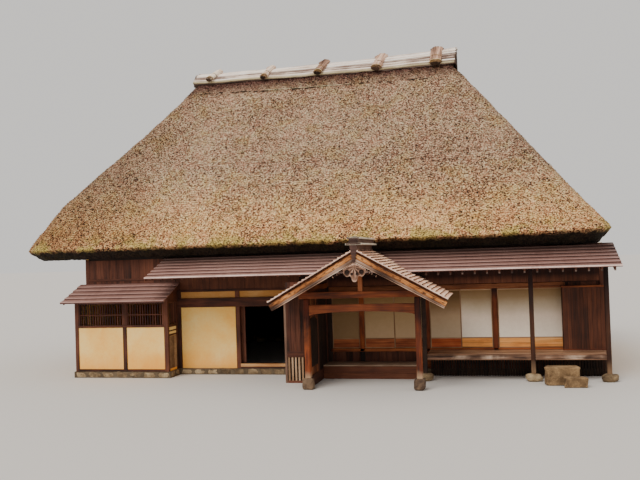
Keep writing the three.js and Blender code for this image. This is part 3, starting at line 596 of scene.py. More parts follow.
def set_camera():
    """The photograph's eye: 22.8 m in front, 3.5 m up, turned 13 degrees left, with a 43 mm lens."""
    yaw, pitch, roll = 0.227, 0.019, -0.033
    ahead = Y * math.cos(yaw) - X * math.sin(yaw)
    right = X * math.cos(yaw) + Y * math.sin(yaw)
    look = ahead * math.cos(pitch) + Z * math.sin(pitch)
    up = Z * math.cos(pitch) - ahead * math.sin(pitch)
    matrix = np.eye(4)
    matrix[:3, 0] = right * math.cos(roll) + up * math.sin(roll)
    matrix[:3, 1] = up * math.cos(roll) - right * math.sin(roll)
    matrix[:3, 2] = -look
    matrix[:3, 3] = ORIGIN + [4.048, -22.766, 3.671]
    data = bpy.data.cameras.new("camera")
    data.sensor_width = 36.0
    data.lens = 762 * data.sensor_width / 640    # 762 pixels in a frame 640 wide
    data.clip_end = 500
    camera = placed("camera", data)
    camera.matrix_world = Matrix(matrix.tolist())
    bpy.context.scene.camera = camera


def set_light():
    """A pale sky all round and one broad soft lamp from the upper front left."""
    world = bpy.data.worlds.new("pale_sky")
    world.use_nodes = True
    Wiring(world.node_tree).fill(world.node_tree.nodes["Background"], {0: (1.0, 0.97, 0.93, 1.0), 1: 0.85})
    bpy.context.scene.world = world
    lamp = bpy.data.lights.new("soft_lamp", "SUN")
    lamp.energy = 2.2
    lamp.angle = math.radians(35)
    lamp.color = (1.0, 0.95, 0.87)
    placed("soft_lamp", lamp).rotation_euler = (math.radians(42), 0.0, math.radians(-24))


def set_floor():
    mesh = bpy.data.meshes.new("studio_floor")
    size = 260.0
    corners = [(-size, -size, 0), (size, -size, 0), (size, size, 0), (-size, size, 0)]
    mesh.from_pydata(corners, [], [(0, 1, 2, 3)])
    material = bpy.data.materials.new("pale_floor")
    material.use_nodes = True
    shader = material.node_tree.nodes["Principled BSDF"]
    Wiring(material.node_tree).fill(shader, {"Base Color": (0.66, 0.63, 0.6, 1), "Roughness": 0.9})
    mesh.materials.append(material)
    placed("studio_floor", mesh)


set_camera()
set_light()
set_floor()


# Thatch.

HALF = (9.28, 5.1325)    # of the roof's length and depth at the eave
LEAN = (0.745, 1 / 1.29)    # how far its ends and long sides lean in for each metre up
LEVELS = [4.095, 4.7, 5.6, 7.0, 8.5, 9.7, 10.35]
RADII = [0.9, 0.82, 0.7, 0.56, 0.4, 0.26, 0.18]    # of the rounded corners at these levels
SWELLING = [0, 0.2, 0.4, 0.23, 0.03, 0, 0]    # by which the left end bellies out at them
LIP_Z = 3.753    # the foot of the cut eave
THICK = 0.696    # from the outer skin to the inside


def ring_directions(flat_x, flat_y, corner):
    """Round the roof: two numbers say how far along the straight runs a place lies, -1 to 1, two more are the
    level direction that it faces, and the last is 1 on the ends. The runs are front, right, back and left,
    each followed by a corner."""
    rows = []
    quarter = (np.arange(corner) / corner * np.pi / 2)[:, None]
    for k, n in enumerate([flat_x, flat_y, flat_x, flat_y]):
        turn = np.array([[0, -1], [1, 0], [0, 1], [-1, 0]])[k]
        along = np.array([-turn[1], turn[0]])
        t = np.linspace(-1, 1, n, endpoint=False)[:, None]
        rows.append(np.hstack([turn + along * t, np.tile(turn, (n, 1)), np.full((n, 1), k % 2)]))
        angle = (k - 1) * np.pi / 2 + quarter
        kind = np.where(quarter > np.pi / 4 - 1e-6, (k + 1) % 2, k % 2)
        rows.append(np.hstack([np.tile(turn + along, (corner, 1)), np.cos(angle), np.sin(angle), kind]))
    return np.concatenate(rows)


def roof_rings(z, inset, radius, ring):
    """Rings round the roof at heights z, set in from its outer skin: straight runs between rounded corners,
    smaller with height."""
    z, radius = np.array(z), np.array(radius)
    x, y = (CENTRE[k] + np.outer(HALF[k] - LEAN[k] * (z - EAVE_Z) - inset - radius, ring[:, k])
            + np.outer(radius, ring[:, 2 + k]) for k in (0, 1))
    return at(x, y, z[:, None])


def outward(ring):
    """The direction that the thatch, sloped at 52 degrees, faces at places round the roof."""
    level, up = 0.79, 0.613
    return at(ring[:, 2] * level, ring[:, 3] * level, up)


def add_thatch():
    """The skin is the plain roof pushed in by 2 cm and out again by tufts: short waves across the slope and
    long ones down it, with hollows between. Under the lip follow the cut face and the plain inside."""
    ring = ring_directions(210, 96, 14)
    out = outward(ring)
    levels = np.linspace(EAVE_Z, CROWN_Z, 92)
    skin = roof_rings(levels, 0, np.interp(levels, LEVELS, RADII), ring)
    skin[..., 0] -= np.outer(np.interp(levels, LEVELS, SWELLING), np.clip(-ring[:, 0], 0, 1))
    slope = (skin[..., 2] - EAVE_Z) * 1.265
    flat = np.stack([slope * 0.35, np.where(ring[:, 4] > 0.5, skin[..., 1] + 30, skin[..., 0])], -1)
    rough = 0.008 * waves(flat, 28, 0.16, 0.45, 11) + 0.007 * waves(skin, 20, 0.8, 2.4, 12)
    rough += np.random.default_rng(13).normal(0, 0.004, rough.shape)
    push = np.minimum(rough - 0.02, -0.002)
    push[0] = np.minimum(push[0], -0.02)
    skin = skin + out * push[..., None]
    # Towards the right end the lip climbs a little.
    climb = np.clip((skin[..., 0] - 3.0) / 4.3, 0, 1) * np.clip(1 - (skin[..., 2] - EAVE_Z) / 0.9, 0, 1)
    climb = climb[..., None] ** 1.3
    skin = skin + climb * [0, 0, 0.12] - out * climb * 0.05
    share = np.linspace(0, 1, 7)[1:, None, None]
    cut = skin[:1] * (1 - share) + roof_rings([LIP_Z], THICK, [0.6], ring) * share
    cut[..., 2] += 0.018 * waves(cut, 24, 0.12, 0.5, 14)
    cut[..., 2] = np.maximum(cut[..., 2], LIP_Z)
    inside = roof_rings([5.6, 7.6, 9.4], THICK, [0.48, 0.3, 0.15], ring)
    rows = np.concatenate([inside[::-1], cut[::-1], skin])
    n, m = rows.shape[:2]
    points = np.concatenate([rows.reshape(-1, 3), [[*CENTRE, 9.4], [*CENTRE, CROWN_Z]]])
    quads, caps = shells(n, m)
    # The grain runs down the slope and then along the front or, 50 m apart from it, along an end.
    on_end = np.tile(ring[:, 4], n - 1)[:, None] > 0.5
    run = np.where(on_end, points[quads, 1] + 50, points[quads, 0])
    local = at((points[quads, 2] - EAVE_Z) * 1.6, run, 0).reshape(-1, 3)
    # The tone paints shade: 1 on the inside, 0.55 to 1 on the cut face, 0 on the skin.
    dark = np.clip(share.ravel()[::-1] * 3, 0.55, 1)
    tone = np.concatenate([np.ones(inside.size // 3), np.repeat(dark, m), np.zeros(skin.size // 3),
                           [1.0, 0.0]])
    shape = {"points": points, "faces": [quads, caps], "tone": tone,
             "local": np.concatenate([local, np.zeros((caps.size, 3))])}
    piece("thatch_cover", shape, "old_thatch", replaces=["thatch_roof"], smooth=True)
    for k in range(3):
        piece(f"loose_straw_{k + 1}", straws(skin, ring, 40000, 21 + k), "old_thatch")


def straws(skin, ring, count, seed):
    """Loose straws: thin three-sided spikes that start in the skin and point down the slope, a little askew
    and a little proud. None starts in the skin's first or last two rows."""
    rng = np.random.default_rng(seed)
    m = skin.shape[1]
    spread = np.linalg.norm(np.roll(skin, -1, 1) - skin, axis=-1)[2:-2]
    pick = rng.choice(spread.size, count, p=(spread / spread.sum()).ravel())
    i, j = pick // m + 2, pick % m
    start = skin[i, j] + rng.uniform(0, 1, (count, 1)) * (skin[i, (j + 1) % m] - skin[i, j])
    down = unit(skin[i, j] - skin[i + 1, j])
    out = outward(ring[j])
    side = unit(np.cross(down, out))
    size = rng.uniform(0.04, 0.11, (count, 1))
    way = unit(down + side * rng.normal(0, 1.1, (count, 1)))
    tip = start + way * size + out * (rng.uniform(0, 0.014, (count, 1)) + 0.006)
    wide = rng.uniform(0.006, 0.012, (count, 1))
    corners = np.stack([start - side * wide, start + side * wide, start + out * wide * 1.2, tip], 1)
    # None reaches past the roof's ends or its back.
    left, right, back = CENTRE[0] - HALF[0], CENTRE[0] + HALF[0], CENTRE[1] + 5.13
    corners = np.clip(corners, [left, -np.inf, 0], [right, back, np.inf])
    f = np.array([[0, 2, 3], [2, 1, 3], [1, 0, 3], [0, 1, 2]])
    faces = (f + 4 * np.arange(count)[:, None, None]).reshape(-1, 3)
    local = np.zeros((count, 4, 3))
    local[:, 3, 0] = size[:, 0]
    return part(corners, [faces], local + rng.uniform(0, 60, (count, 1, 3)), 0.0)


# Ridge.

def about_ridge(points):
    """(y, z) pairs from the middle of the roof turned to the facade's own y and z."""
    return np.array(points) + [CENTRE[1], 0.0]


def ridge_rise(x, level):
    """How far the old ridge has bent: its top (level 1) sags left of the middle and climbs to the right, its
    foot (level 0) is a little high at both ends."""
    top = np.interp(x, [-6.8, -5.8, -4.2, -2.4, -0.9, 0.8, 1.9, 2.9],
                    [0, -0.06, -0.065, -0.055, -0.045, 0, 0.047, 0.11])
    foot = np.interp(x, [-6.8, -5.7, -4.3, -2.5, -1, 1.2, 2.5, 2.9],
                     [0.085, 0.05, 0.05, 0.015, 0, 0.01, 0.036, 0.045])
    return foot + level * (top - foot)


def ridge_level(z):
    """0 at the foot of the ridge cover, 1 at its top."""
    return np.clip((z - 10.175) / 0.49, 0, 1)


def add_ridge():
    """A dark bark mat over the thatch, and lengthwise poles on it side by side. A pole is a tube whose radius
    swells by a tenth at each knot and whose line sags a few millimetres."""
    half = np.array([[-0.49, 10.12], [-0.385, 10.35], [-0.25, 10.55], [-0.1, 10.655]])
    low = np.array([[-0.42, 10.13], [-0.3, 10.29], [-0.12, 10.352], [-0.05, 10.352]])
    both = lambda left: np.concatenate([left, left[::-1] * [-1, 1]])
    xs = np.linspace(-6.79, 2.9, 60)
    top = swept(xs, about_ridge(both(half)))
    height = ridge_level(both(half)[:, 1])
    top[..., 2] += 0.012 * waves(top, 16, 0.2, 0.8, 31) - 0.012 + ridge_rise(top[..., 0], height)
    # The bark mat is dark; its edge showing below the poles also stands in for the poles' shadow on the thatch.
    piece("ridge_bark", slab(top, swept(xs, about_ridge(both(low)))), "dark_grey_wood",
          replaces=["ridge_cover"])
    line = np.array([[-0.462, 10.175], [-0.385, 10.345], [-0.248, 10.548], [-0.1, 10.655], [0, 10.663],
                     [0.1, 10.655], [0.248, 10.548], [0.385, 10.345], [0.462, 10.175]])
    run = np.concatenate([[0], np.cumsum(np.linalg.norm(np.diff(line, axis=0), axis=1))])
    count = 17
    place = np.linspace(0, run[-1], count)[:, None]
    y, z = CENTRE[1] + np.interp(place, run, line[:, 0]), np.interp(place, run, line[:, 1])
    rng = np.random.default_rng(32)
    knots = np.arange(25) * 0.41
    station = np.sort(np.concatenate([knots - 0.02, knots, knots + 0.02, knots + 0.2]))
    station = station + rng.uniform(-0.2, 0.2, (count, 1))
    level = ridge_level(z)
    xs = np.clip(-6.98 + station, -6.81 + 0.09 * level + rng.uniform(0, 0.03, (count, 1)),
                 2.88 + 0.09 * level - rng.uniform(0, 0.03, (count, 1)))
    paths = at(xs + np.arange(100) * 1e-5, y, z)
    paths[..., 2] += 0.006 * waves(paths * [1, 3, 3], 16, 1.0, 4.0, 33) + ridge_rise(paths[..., 0], level)
    swell = np.tile([0.0, 1.0, 0.0, -0.15], 25)
    radius = (0.038 + rng.uniform(-0.006, 0.004, (count, 1))) * (1 + 0.12 * swell)
    piece("ridge_poles", tubes(paths[1:-1], radius[1:-1], seed=34), "silver_bamboo", smooth=True)
    outer = tubes(paths[[0, -1]], radius[[0, -1]], seed=38)
    piece("old_ridge_poles", outer, "old_poles", smooth=True)
    # The ends are closed by bark; the left one leans.
    edge = both(np.array([[-0.49, 10.1], [-0.4, 10.37], [-0.27, 10.58], [-0.12, 10.7]]))
    v = np.array([0.0, 0.5, 1.0])
    ends = []
    for x, rise, lean in ((2.9, 0.08, 0.0), (-6.79, -0.05, 0.1)):
        foot, head = about_ridge(edge * [1, 0] + [0, 10.1]), about_ridge(edge + [0, rise])
        y, z = (foot[:, k, None] * (1 - v) + head[:, k, None] * v for k in (0, 1))
        face = at(x + lean * v, y, z)[::-1]
        ends.append(slab(face + [0.03, 0, 0], face))
    piece("ridge_ends", ends, "dark_bark")
    # Bark stitches lie along the foot of the ridge, and one thin pole.
    on_roof = lambda y: EAVE_Z + (y - CENTRE[1] + HALF[1]) / LEAN[1]
    rng = np.random.default_rng(36)
    x = np.sort(rng.uniform(-6.45, 2.35, 46))
    y = np.interp(x, [-6.25, -3.53, -0.77, 2.3], [3.7, 3.62, 3.6, 3.58]) + rng.uniform(-0.02, 0.02, 46)
    a = at(x, y, on_roof(y) - 0.012)
    b = a + at(rng.uniform(0.06, 0.2, 46), rng.uniform(-0.01, 0.01, 46), 0)
    piece("ridge_stitches", sticks(a, b, 0.03, 0.035, Y, 0.006, 37), "dark_bark")
    xs = np.linspace(-3.9, -0.77, 50)
    y = np.interp(xs, [-6.25, -3.53, -0.77], [3.71, 3.63, 3.605])
    pole = tubes(at(xs, y, on_roof(y))[None], 0.011 + 0.002 * np.cos(xs * 15), seed=35)
    piece("loose_pole", pole, "old_poles", smooth=True)


# Each pair of ropes: its middle, the half width, and the foot and head of its front rope from the middle.
ROPES = [(-5.96, 0.125, (-0.19, 10.29), (0.095, 10.726)), (-3.885, 0.125, (-0.16, 10.2), (0.095, 10.706)),
         (-1.85, 0.15, (-0.16, 10.19), (0.095, 10.746)), (0.255, 0.18, (-0.145, 10.165), (0.09, 10.776)),
         (2.25, 0.205, (-0.035, 10.16), (0.025, 10.847))]


def add_ropes():
    """Straw ropes that cross in pairs over the ridge. The section is a flattened circle with strands round it,
    drawn in where it is tied; the foot ends in a dark bound butt, the ties are thin loops round the rope."""
    sides = 60
    deep = 0.08
    v = np.linspace(0, 1, 44)[:, None]
    angle = np.arange(sides) / sides * 2 * np.pi
    turn = np.linspace(0, 2 * np.pi, 33)[:, None]
    ropes, butts, ties, pale = [], [], [], []
    for k, (middle, half, foot, head) in enumerate(ROPES):
        for way in (1, -1):
            rng = np.random.default_rng(40 + 2 * k + way)
            foot_at = at(middle + way * foot[0], CENTRE[1] - way * 0.62, foot[1])
            head_at = at(middle + way * head[0], CENTRE[1] - way * 0.02, head[1])
            length = np.linalg.norm(head_at - foot_at)
            along = unit(head_at - foot_at)
            across = unit(X - along * (X @ along))
            up = np.cross(along, across)
            path = foot_at + v * (head_at - foot_at) + Z * 0.02 * np.sin(v * np.pi)
            places = np.array([0.13, 0.36]) + rng.uniform(-0.02, 0.02, 2)
            pinch = 0.07 * np.exp(-((v * length - places) / 0.03) ** 2).sum(1, keepdims=True)
            ribs = 0.05 * sum(np.cos(strands * angle + rng.uniform(0, 6)) for strands in (17, 11))
            twist = 0.05 * waves(np.stack(np.broadcast_arrays(v * 1.2, angle * 2), -1), 14, 0.5, 1.6, 50 + k)
            swell = 0.04 * np.sin(v * np.pi) - 0.12 * np.clip(1 - v / 0.2, 0, 1)
            radius = 0.95 - pinch + swell + ribs + twist
            ropes.append(tubes(path[None], radius[None], sides, X, 60 + k, (half, deep)))
            cap = foot_at - along * np.array([[0.016], [0.01], [-0.05]])
            butts.append(tubes(cap[None], [[0.6, 0.86, 0.9]], 24, X, 70 + k, (half, deep)))
            for n, place in enumerate([0.03, 0.06, 0.085, 0.12, places[1], places[1] + 0.02]):
                size = 0.97 if n < 4 else 0.98
                loop = (foot_at + along * (place + 0.03 * np.sin(turn + n)) + Z * 0.012
                        + size * (across * half * np.cos(turn) + up * deep * np.sin(turn)))
                (pale if n == 3 else ties).append(tubes(loop[None], 0.011, 6, along, 80 + k))
    bundles = [f"ridge_bundle_{i + 1}" for i in range(5)]
    piece("ridge_ropes", ropes, "bound_straw", replaces=bundles, smooth=True)
    piece("rope_butts", butts, "dark_bark")
    piece("rope_ties", ties, "straw_rope", smooth=True)
    piece("pale_rope_ties", pale, "pale_rope", smooth=True)


# Metal roofs and what carries them. A slope is y and z at its lower edge, and its rise for each metre back.

METAL = 0.06    # the metal's depth, straight up
LEAN_TO = (-1.648, 3.098, 0.38)
BAY = (-1.3, 2.38, 0.414)


def under(slope, y):
    """The height of a slope's underside, y metres back."""
    return slope[1] + slope[2] * (y - slope[0])


def lapped_sheet(name, slope, ends, courses, node, seed):
    """Metal roof in courses: seen from the end a saw-tooth. Each course ends in a rounded nose with a hollow
    under it, which shows as a dark line, its shade also painted in. The profile is carried along the roof, a
    few millimetres uneven."""
    edge, back = slope[0], -0.021
    rows = []
    for k in range(courses):
        y0, y1 = (edge + (back - edge) * n / courses for n in (k, k + 1))
        z0, z1 = under(slope, y0) + METAL, under(slope, y1) + METAL
        hollow = 0.025 if k else 0.004
        rows += [[y0 + hollow, z0 - 0.034], [y0 + hollow, z0 - 0.02], [y0 + 0.002, z0 - 0.017],
                 [y0, z0 - 0.008], [y0 + 0.008, z0], [y1 + 0.02, z1 - 0.034]]
    rows[-1] = [back, z1 - 0.03]
    rows = np.array(rows)
    foot = np.stack([rows[:, 0], under(slope, rows[:, 0])], 1)
    foot[0, 1] = slope[1]
    xs = np.linspace(*ends, int((ends[1] - ends[0]) / 0.12))
    top = swept(xs, rows)
    top[..., 2] += 0.0008 * waves(top * [1.0, 0.5, 0.0], 18, 1.0, 3.0, seed) - 0.004
    # Painted light and shade for each row of the profile: dark in the hollow, pale on the nose.
    tone = np.tile([-0.2, -0.2, 0.5, 1.0, 0.8, 0.35], courses)
    piece(name, slab(top, swept(xs, foot), tone=tone), "brown_sheet", replaces=[node])


def add_lean_to():
    """Metal roof, rafters with pale ends where they show, boards under the metal and the beam on its arms."""
    x0, x1 = -6.3, 7.24
    lapped_sheet("lean_to_sheets", LEAN_TO, (x0, x1), 7, "pent_roof", 91)
    xs = np.arange(-18.5, 22) * KEN / 6
    a, b = (at(xs, y, under(LEAN_TO, y) - 0.063) for y in (-1.6, -0.03))
    deep = xs > 1.9
    up = [0, 0, 0.03]
    rafters = [sticks(a[deep], b[deep], 0.05, 0.11, X, 0.004, 92),
               sticks(a[~deep] + up, b[~deep] + up, 0.05, 0.05, X, 0.004, 92)]
    piece("rafters", rafters, "dark_boards")
    end = a[deep] - up
    caps = sticks(end + [0, -0.012, -0.0045], end + [0, 0.001, 0], 0.046, 0.045, X, 0.004, 93)
    piece("rafter_ends", caps, "dark_grey_wood")
    # A pale strip along the eave, its brightness a painted highlight on the sheets' edge.
    drip = blocks([x0, -1.6485, 3.116], [x1, -1.636, 3.156], 0, 0.004, 98)
    piece("drip_edge", drip, "drip_edge_highlight")
    boards = boarding((x0 + 0.02, x1 - 0.02), (-1.6, -0.03), (0.0, 0.008), 0.22, 94, axis=1)
    boards["points"][:, 2] += under(LEAN_TO, boards["points"][:, 1]) - 0.007
    piece("roof_boards", boards, "dark_boards")
    arms = np.array([-5.91, -3.94, -1.97, 5.91])
    beam = [blocks([-6.24, -1.08, 3.17], [7.15, -0.96, 3.305], 0, 0.01, 95),
            blocks(at(arms - 0.05, -0.98, 3.19), at(arms + 0.05, -0.02, 3.3), 1, 0.008, 96)]
    piece("eave_beam_timbers", beam, "dark_boards", replaces=["pent_eave_beam"])
    verge = sticks([-6.29, -1.63, 3.08], [-6.29, -0.03, 3.69], 0.03, 0.1, X, 0.005, 97)
    piece("verge_board", verge, "dark_boards")


# Walls of the front.

def wall_posts(x, z0, z1, seed):
    """Posts of the front wall, 14 cm square, round the places x."""
    x = np.array(x)
    return blocks(at(x - 0.07, -0.02, z0), at(x + 0.07, 0.12, z1), 2, 0.008, seed)


def clay_strip(x, z):
    """A strip of wall whose front is a fine grid, gently uneven, as troweled clay is."""
    xs, zs = (np.linspace(*ends, max(2, int((ends[1] - ends[0]) / 0.1))) for ends in (x, z))
    front = at(xs[:, None], 0.02, zs)
    front[..., 1] -= 0.0015 * waves(front, 14, 0.3, 1.2, 7) - 0.002
    return slab(front, at(xs[:, None], 0.09, zs))


def add_front():
    """Posts, beams and boards of the front, each a separate member with its own grain."""
    beams = blocks([[-5.98, -0.035, 2.12], [-3.87, -0.05, 0.19], [-5.84, 0.119, 0.27]],
                   [[-1.9, 0.12, 2.41], [-2.04, 0.195, 0.34], [-4.0, 0.195, 0.34]], 0, 0.01, 102)
    piece("entrance_timbers", [wall_posts([-5.91, -3.94, -1.97], 0.19, 2.6097, 101), beams], "dark_boards",
          replaces=["entrance_frame"])
    piece("pale_sill", blocks([-3.87, -0.056, 0.245], [-2.04, 0.1, 0.34], 0, 0.008, 103), "door_sill")
    strips = [clay_strip(x, (2.41, 2.61)) for x in ((-5.84, -4.01), (-3.87, -2.04))]
    piece("clay_strip", strips, "ochre_clay")
    piece("band_boards", boarding((-5.98, -1.9), (-0.032, -0.02), (2.612, 3.7), 0.3, 104), "smoky_boards")
    piece("high_boards", boarding((-9.04, -5.99), (-0.034, -0.021), (2.9, 3.7), 0.26, 105), "dark_boards")
    corners = blocks([[-9.158, -0.04, 2.5], [6.84, -0.034, 0.19]], [[-9.03, 0.12, 3.74], [6.958, 0.12, 3.74]],
                     2, 0.008, 114)
    piece("corner_posts", corners, "dark_boards")
    rails = blocks([[-9.04, -0.05, 3.02], [-5.98, -0.048, 2.615]],
                   [[-5.99, -0.034, 3.09], [-1.9, -0.032, 2.68]],
                   0, 0.005, 106)
    piece("band_rails", rails, "dark_boards")
    # Boards right of the entrance, painted darker with shade at the top under the metal roof.
    band = boarding((-1.89, 6.84), (-0.03, -0.0205), (2.68, 3.7), 0.33, 107)
    piece("band_boards_right", band, "shade_topped_boards")
    # Posts and grooved beams round the paper screens.
    shaded = [wall_posts(-0.985, 0.19, 2.67, 116), wall_posts(0.0, 0.19, 0.7, 118)]
    piece("shaded_posts", shaded, "shade_panel_wood")
    # The porch's post above the floor takes lighter wood: painted light in the porch's shade.
    piece("porch_screen_post", wall_posts(0.0, 0.7, 2.67, 117), "lit_red_post")
    posts = wall_posts([1.97, 3.94, 5.91], 0.7, 2.67, 108)
    piece("screen_posts", posts, "red_timber", replaces=["screen_frame"])
    tracks = blocks([[-0.985, -0.01, 2.516], [-0.985, -0.02, 0.7], [-0.985, 0.04, 0.19]],
                    [[5.91, 0.12, 2.668], [5.91, 0.12, 0.79], [5.91, 0.07, 0.7]], 0, 0.006, 109)
    piece("screen_tracks", tracks, "red_beams")
    piece("head_beam", blocks([-0.985, -0.034, 2.53], [5.91, -0.02, 2.66], 0, 0.006, 110), "head_beam")
    piece("riser_boards", boarding((-0.9, 1.9), (0.02, 0.04), (0.2, 0.695), 0.2, 111), "dark_boards")
    # Boards under the floor's edge, painted dark with shade.
    under = boarding((2.04, 6.95), (-0.12, -0.085), (0.0, 0.7), 0.075, 115, gap=0.02)
    piece("under_boards", under, "shade_dark_wood")
    ends = [boarding((5.99, 6.83), (0.004, 0.02), (0.7, 2.66), 0.17, 112),
            boarding((-1.895, -1.06), (0.004, 0.02), (0.2, 2.66), 0.17, 113)]
    piece("end_boards", ends, "dark_boards")


def add_bay():
    """The low bay: a metal roof on rafters, posts, rails and jambs, bars in the windows, and boards."""
    lapped_sheet("bay_sheets", BAY, (-9.35, -5.85), 5, "bay_roof", 121)
    xs = np.arange(-9.25, -5.9, 0.41)
    a, b = (at(xs, y, under(BAY, y) - 0.028) for y in (-1.26, -0.03))
    piece("bay_rafters", sticks(a, b, 0.04, 0.05, X, 0.004, 122), "dark_boards")
    posts = blocks([[-9.16, -0.775, 0.19], [-7.5, -0.772, 0.19], [-6.1, -0.775, 0.19], [-5.995, -0.13, 0.19]],
                   [[-9.03, -0.665, 2.6], [-7.36, -0.668, 2.6], [-5.965, -0.665, 2.6], [-5.965, -0.022, 2.87]],
                   2, 0.006, 123)
    rails = blocks([[-9.03, -0.78, 1.575], [-9.03, -0.77, 2.31], [-9.03, -0.768, 0.19]],
                   [[-6.1, -0.67, 1.65], [-6.1, -0.67, 2.4], [-6.1, -0.69, 0.27]], 0, 0.006, 124)
    lo = at([-6.07, -6.07, -5.99, -5.99], -0.665, [1.56, 2.31, 1.29, 1.42])
    hi = at([-5.955, -5.965, -5.965, -5.965], -0.13, [1.65, 2.4, 1.34, 1.46])
    side_rails = blocks(lo, hi, 1, 0.006, 125)
    jambs = blocks([[-9.03, -0.77, 1.65], [-7.52, -0.768, 1.65], [-6.16, -0.77, 1.65]],
                   [[-8.98, -0.69, 2.31], [-7.34, -0.69, 2.31], [-6.1, -0.69, 2.31]], 2, 0.006, 130)
    side_jambs = blocks([[-6.06, -0.67, 1.65], [-6.06, -0.16, 1.65]],
                        [[-5.968, -0.52, 2.31], [-5.968, -0.13, 2.31]], 2, 0.006, 130)
    piece("bay_timbers", [posts, rails, side_rails, jambs, side_jambs], "dark_boards")
    xs = np.concatenate([np.arange(-8.96, -7.52, 0.085), np.arange(-7.33, -6.16, 0.085)])
    ys = np.arange(-0.53, -0.15, 0.085)
    bars = [sticks(at(x, y, 1.62), at(x, y, 2.34), 0.03, 0.035, X, 0.004, seed)
            for x, y, seed in ((xs, -0.72, 126), (-6.02, ys, 127))]
    piece("bay_bars", bars, "dark_boards")
    piece("bay_cross_bar", blocks([-9.0, -0.745, 1.95], [-6.13, -0.725, 1.99], 0, 0.004, 128), "dark_boards")
    ys = np.linspace(-0.68, -0.03, 7)
    lo, hi = at(-5.972, ys[:-1], 2.39), at(-5.955, ys[1:] - 0.004, under(BAY, ys[:-1]) - 0.005)
    piece("bay_gable_boards", blocks(lo, hi, 2, 0.003, 119), "smoky_boards")
    low = boarding((-5.98, -5.968), (-0.67, -0.13), (0.27, 1.28), 0.16, 129)
    piece("bay_low_boards", low, "brown_clay")


# Doors and screens.

def add_door():
    """The entrance door: upright boards between stiles and rails."""
    x0, x1, z0, z1 = -5.65, -3.75, 0.3403, 2.165
    stile = 0.075
    boards = boarding((x0 + 0.06, x1 - 0.06), (0.156, 0.172), (z0 + 0.05, z1 - 0.05), 0.2, 131)
    stiles = blocks(at([x0, x1 - stile], 0.145, z0), at([x0 + stile, x1], 0.185, z1), 2, 0.005, 132)
    foot, head = np.array([z0, z1 - 0.09, 1.2]), np.array([z0 + 0.12, z1, 1.28])
    rails = blocks(at(x0 + 0.07, 0.148, foot), at(x1 - 0.07, 0.182, head), 0, 0.005, 133)
    piece("door_boards", [boards, stiles, rails], "dark_boards", body="entrance_door_leaf",
          replaces=["entrance_door"])


def add_screens():
    """Each screen: a slim frame, paper on its outer side drawn tight over a lattice, and a low board. The first
    is fixed; after it come two screens to a bay, the right one behind, which meet by 3 cm in the middle."""
    clear, meet, bar = 0.076, 0.015, 0.03
    screens = [(-0.9147, -0.0703, 0.02)]
    for bay in range(3):
        x = bay * KEN
        screens += [(x + clear, x + KEN / 2 + meet, 0.02), (x + KEN / 2 - meet, x + KEN - clear, 0.056)]
    # Paper and low boards in painted shade under and beside the porch, and a lit copy of the boards to its
    # right.
    looks = ([("dim_paper", "shaded_low_boards")] + [("porch_shade_paper", "shaded_low_boards")] * 2
             + [("shaded_paper", "low_boards")] + [("screen_paper", "lit_low_boards")] * 3)
    z0, z1 = 0.7903, 2.51
    board_top = z0 + 0.28
    foot, head = board_top + bar, z1 - 0.036    # between them stands the lattice
    for k, ((x0, x1, y), (paper, wood)) in enumerate(zip(screens, looks)):
        body = f"paper_screen_{k + 1}_leaf" if k else "house"
        left, right = x0 + bar, x1 - bar
        stiles = blocks(at([x0, right], y, z0), at([left, x1], y + bar, z1), 2, 0.003, 140 + k)
        lows = np.array([z0, board_top, head])
        rails = blocks(at(left, y, lows), at(right, y + bar, [z0 + bar, foot, z1]), 0, 0.003, 150 + k)
        xs, zs = np.linspace(left, right, 6)[1:-1], np.linspace(foot, head, 9)[1:-1]
        upright = sticks(at(xs, y + 0.014, foot), at(xs, y + 0.014, head), 0.008, 0.01, X, 0.001, 160)
        level = sticks(at(left, y + 0.014, zs), at(right, y + 0.014, zs), 0.008, 0.01, Z, 0.001, 161)
        piece(f"screen_bars_{k + 1}", [stiles, rails, upright, level], "pale_wood", body,
              [f"paper_screen_{k + 1}"])
        front = at(np.linspace(x0 + 0.02, x1 - 0.02, 30)[:, None], y + 0.0035,
                   np.linspace(board_top + 0.02, z1 - 0.02, 44))
        front[..., 1] += 0.0012 * waves(front * [1, 0, 1], 16, 0.15, 0.6, 170 + k)
        piece(f"screen_paper_{k + 1}", slab(front, front + [0, 0.003, 0]), paper, body)
        board = boarding((x0 + 0.02, x1 - 0.02), (y + 0.008, y + 0.018), (z0 + 0.02, board_top + 0.01), 0.13,
                         180 + k, axis=0)
        piece(f"screen_board_{k + 1}", board, wood, body)


# Verandah.

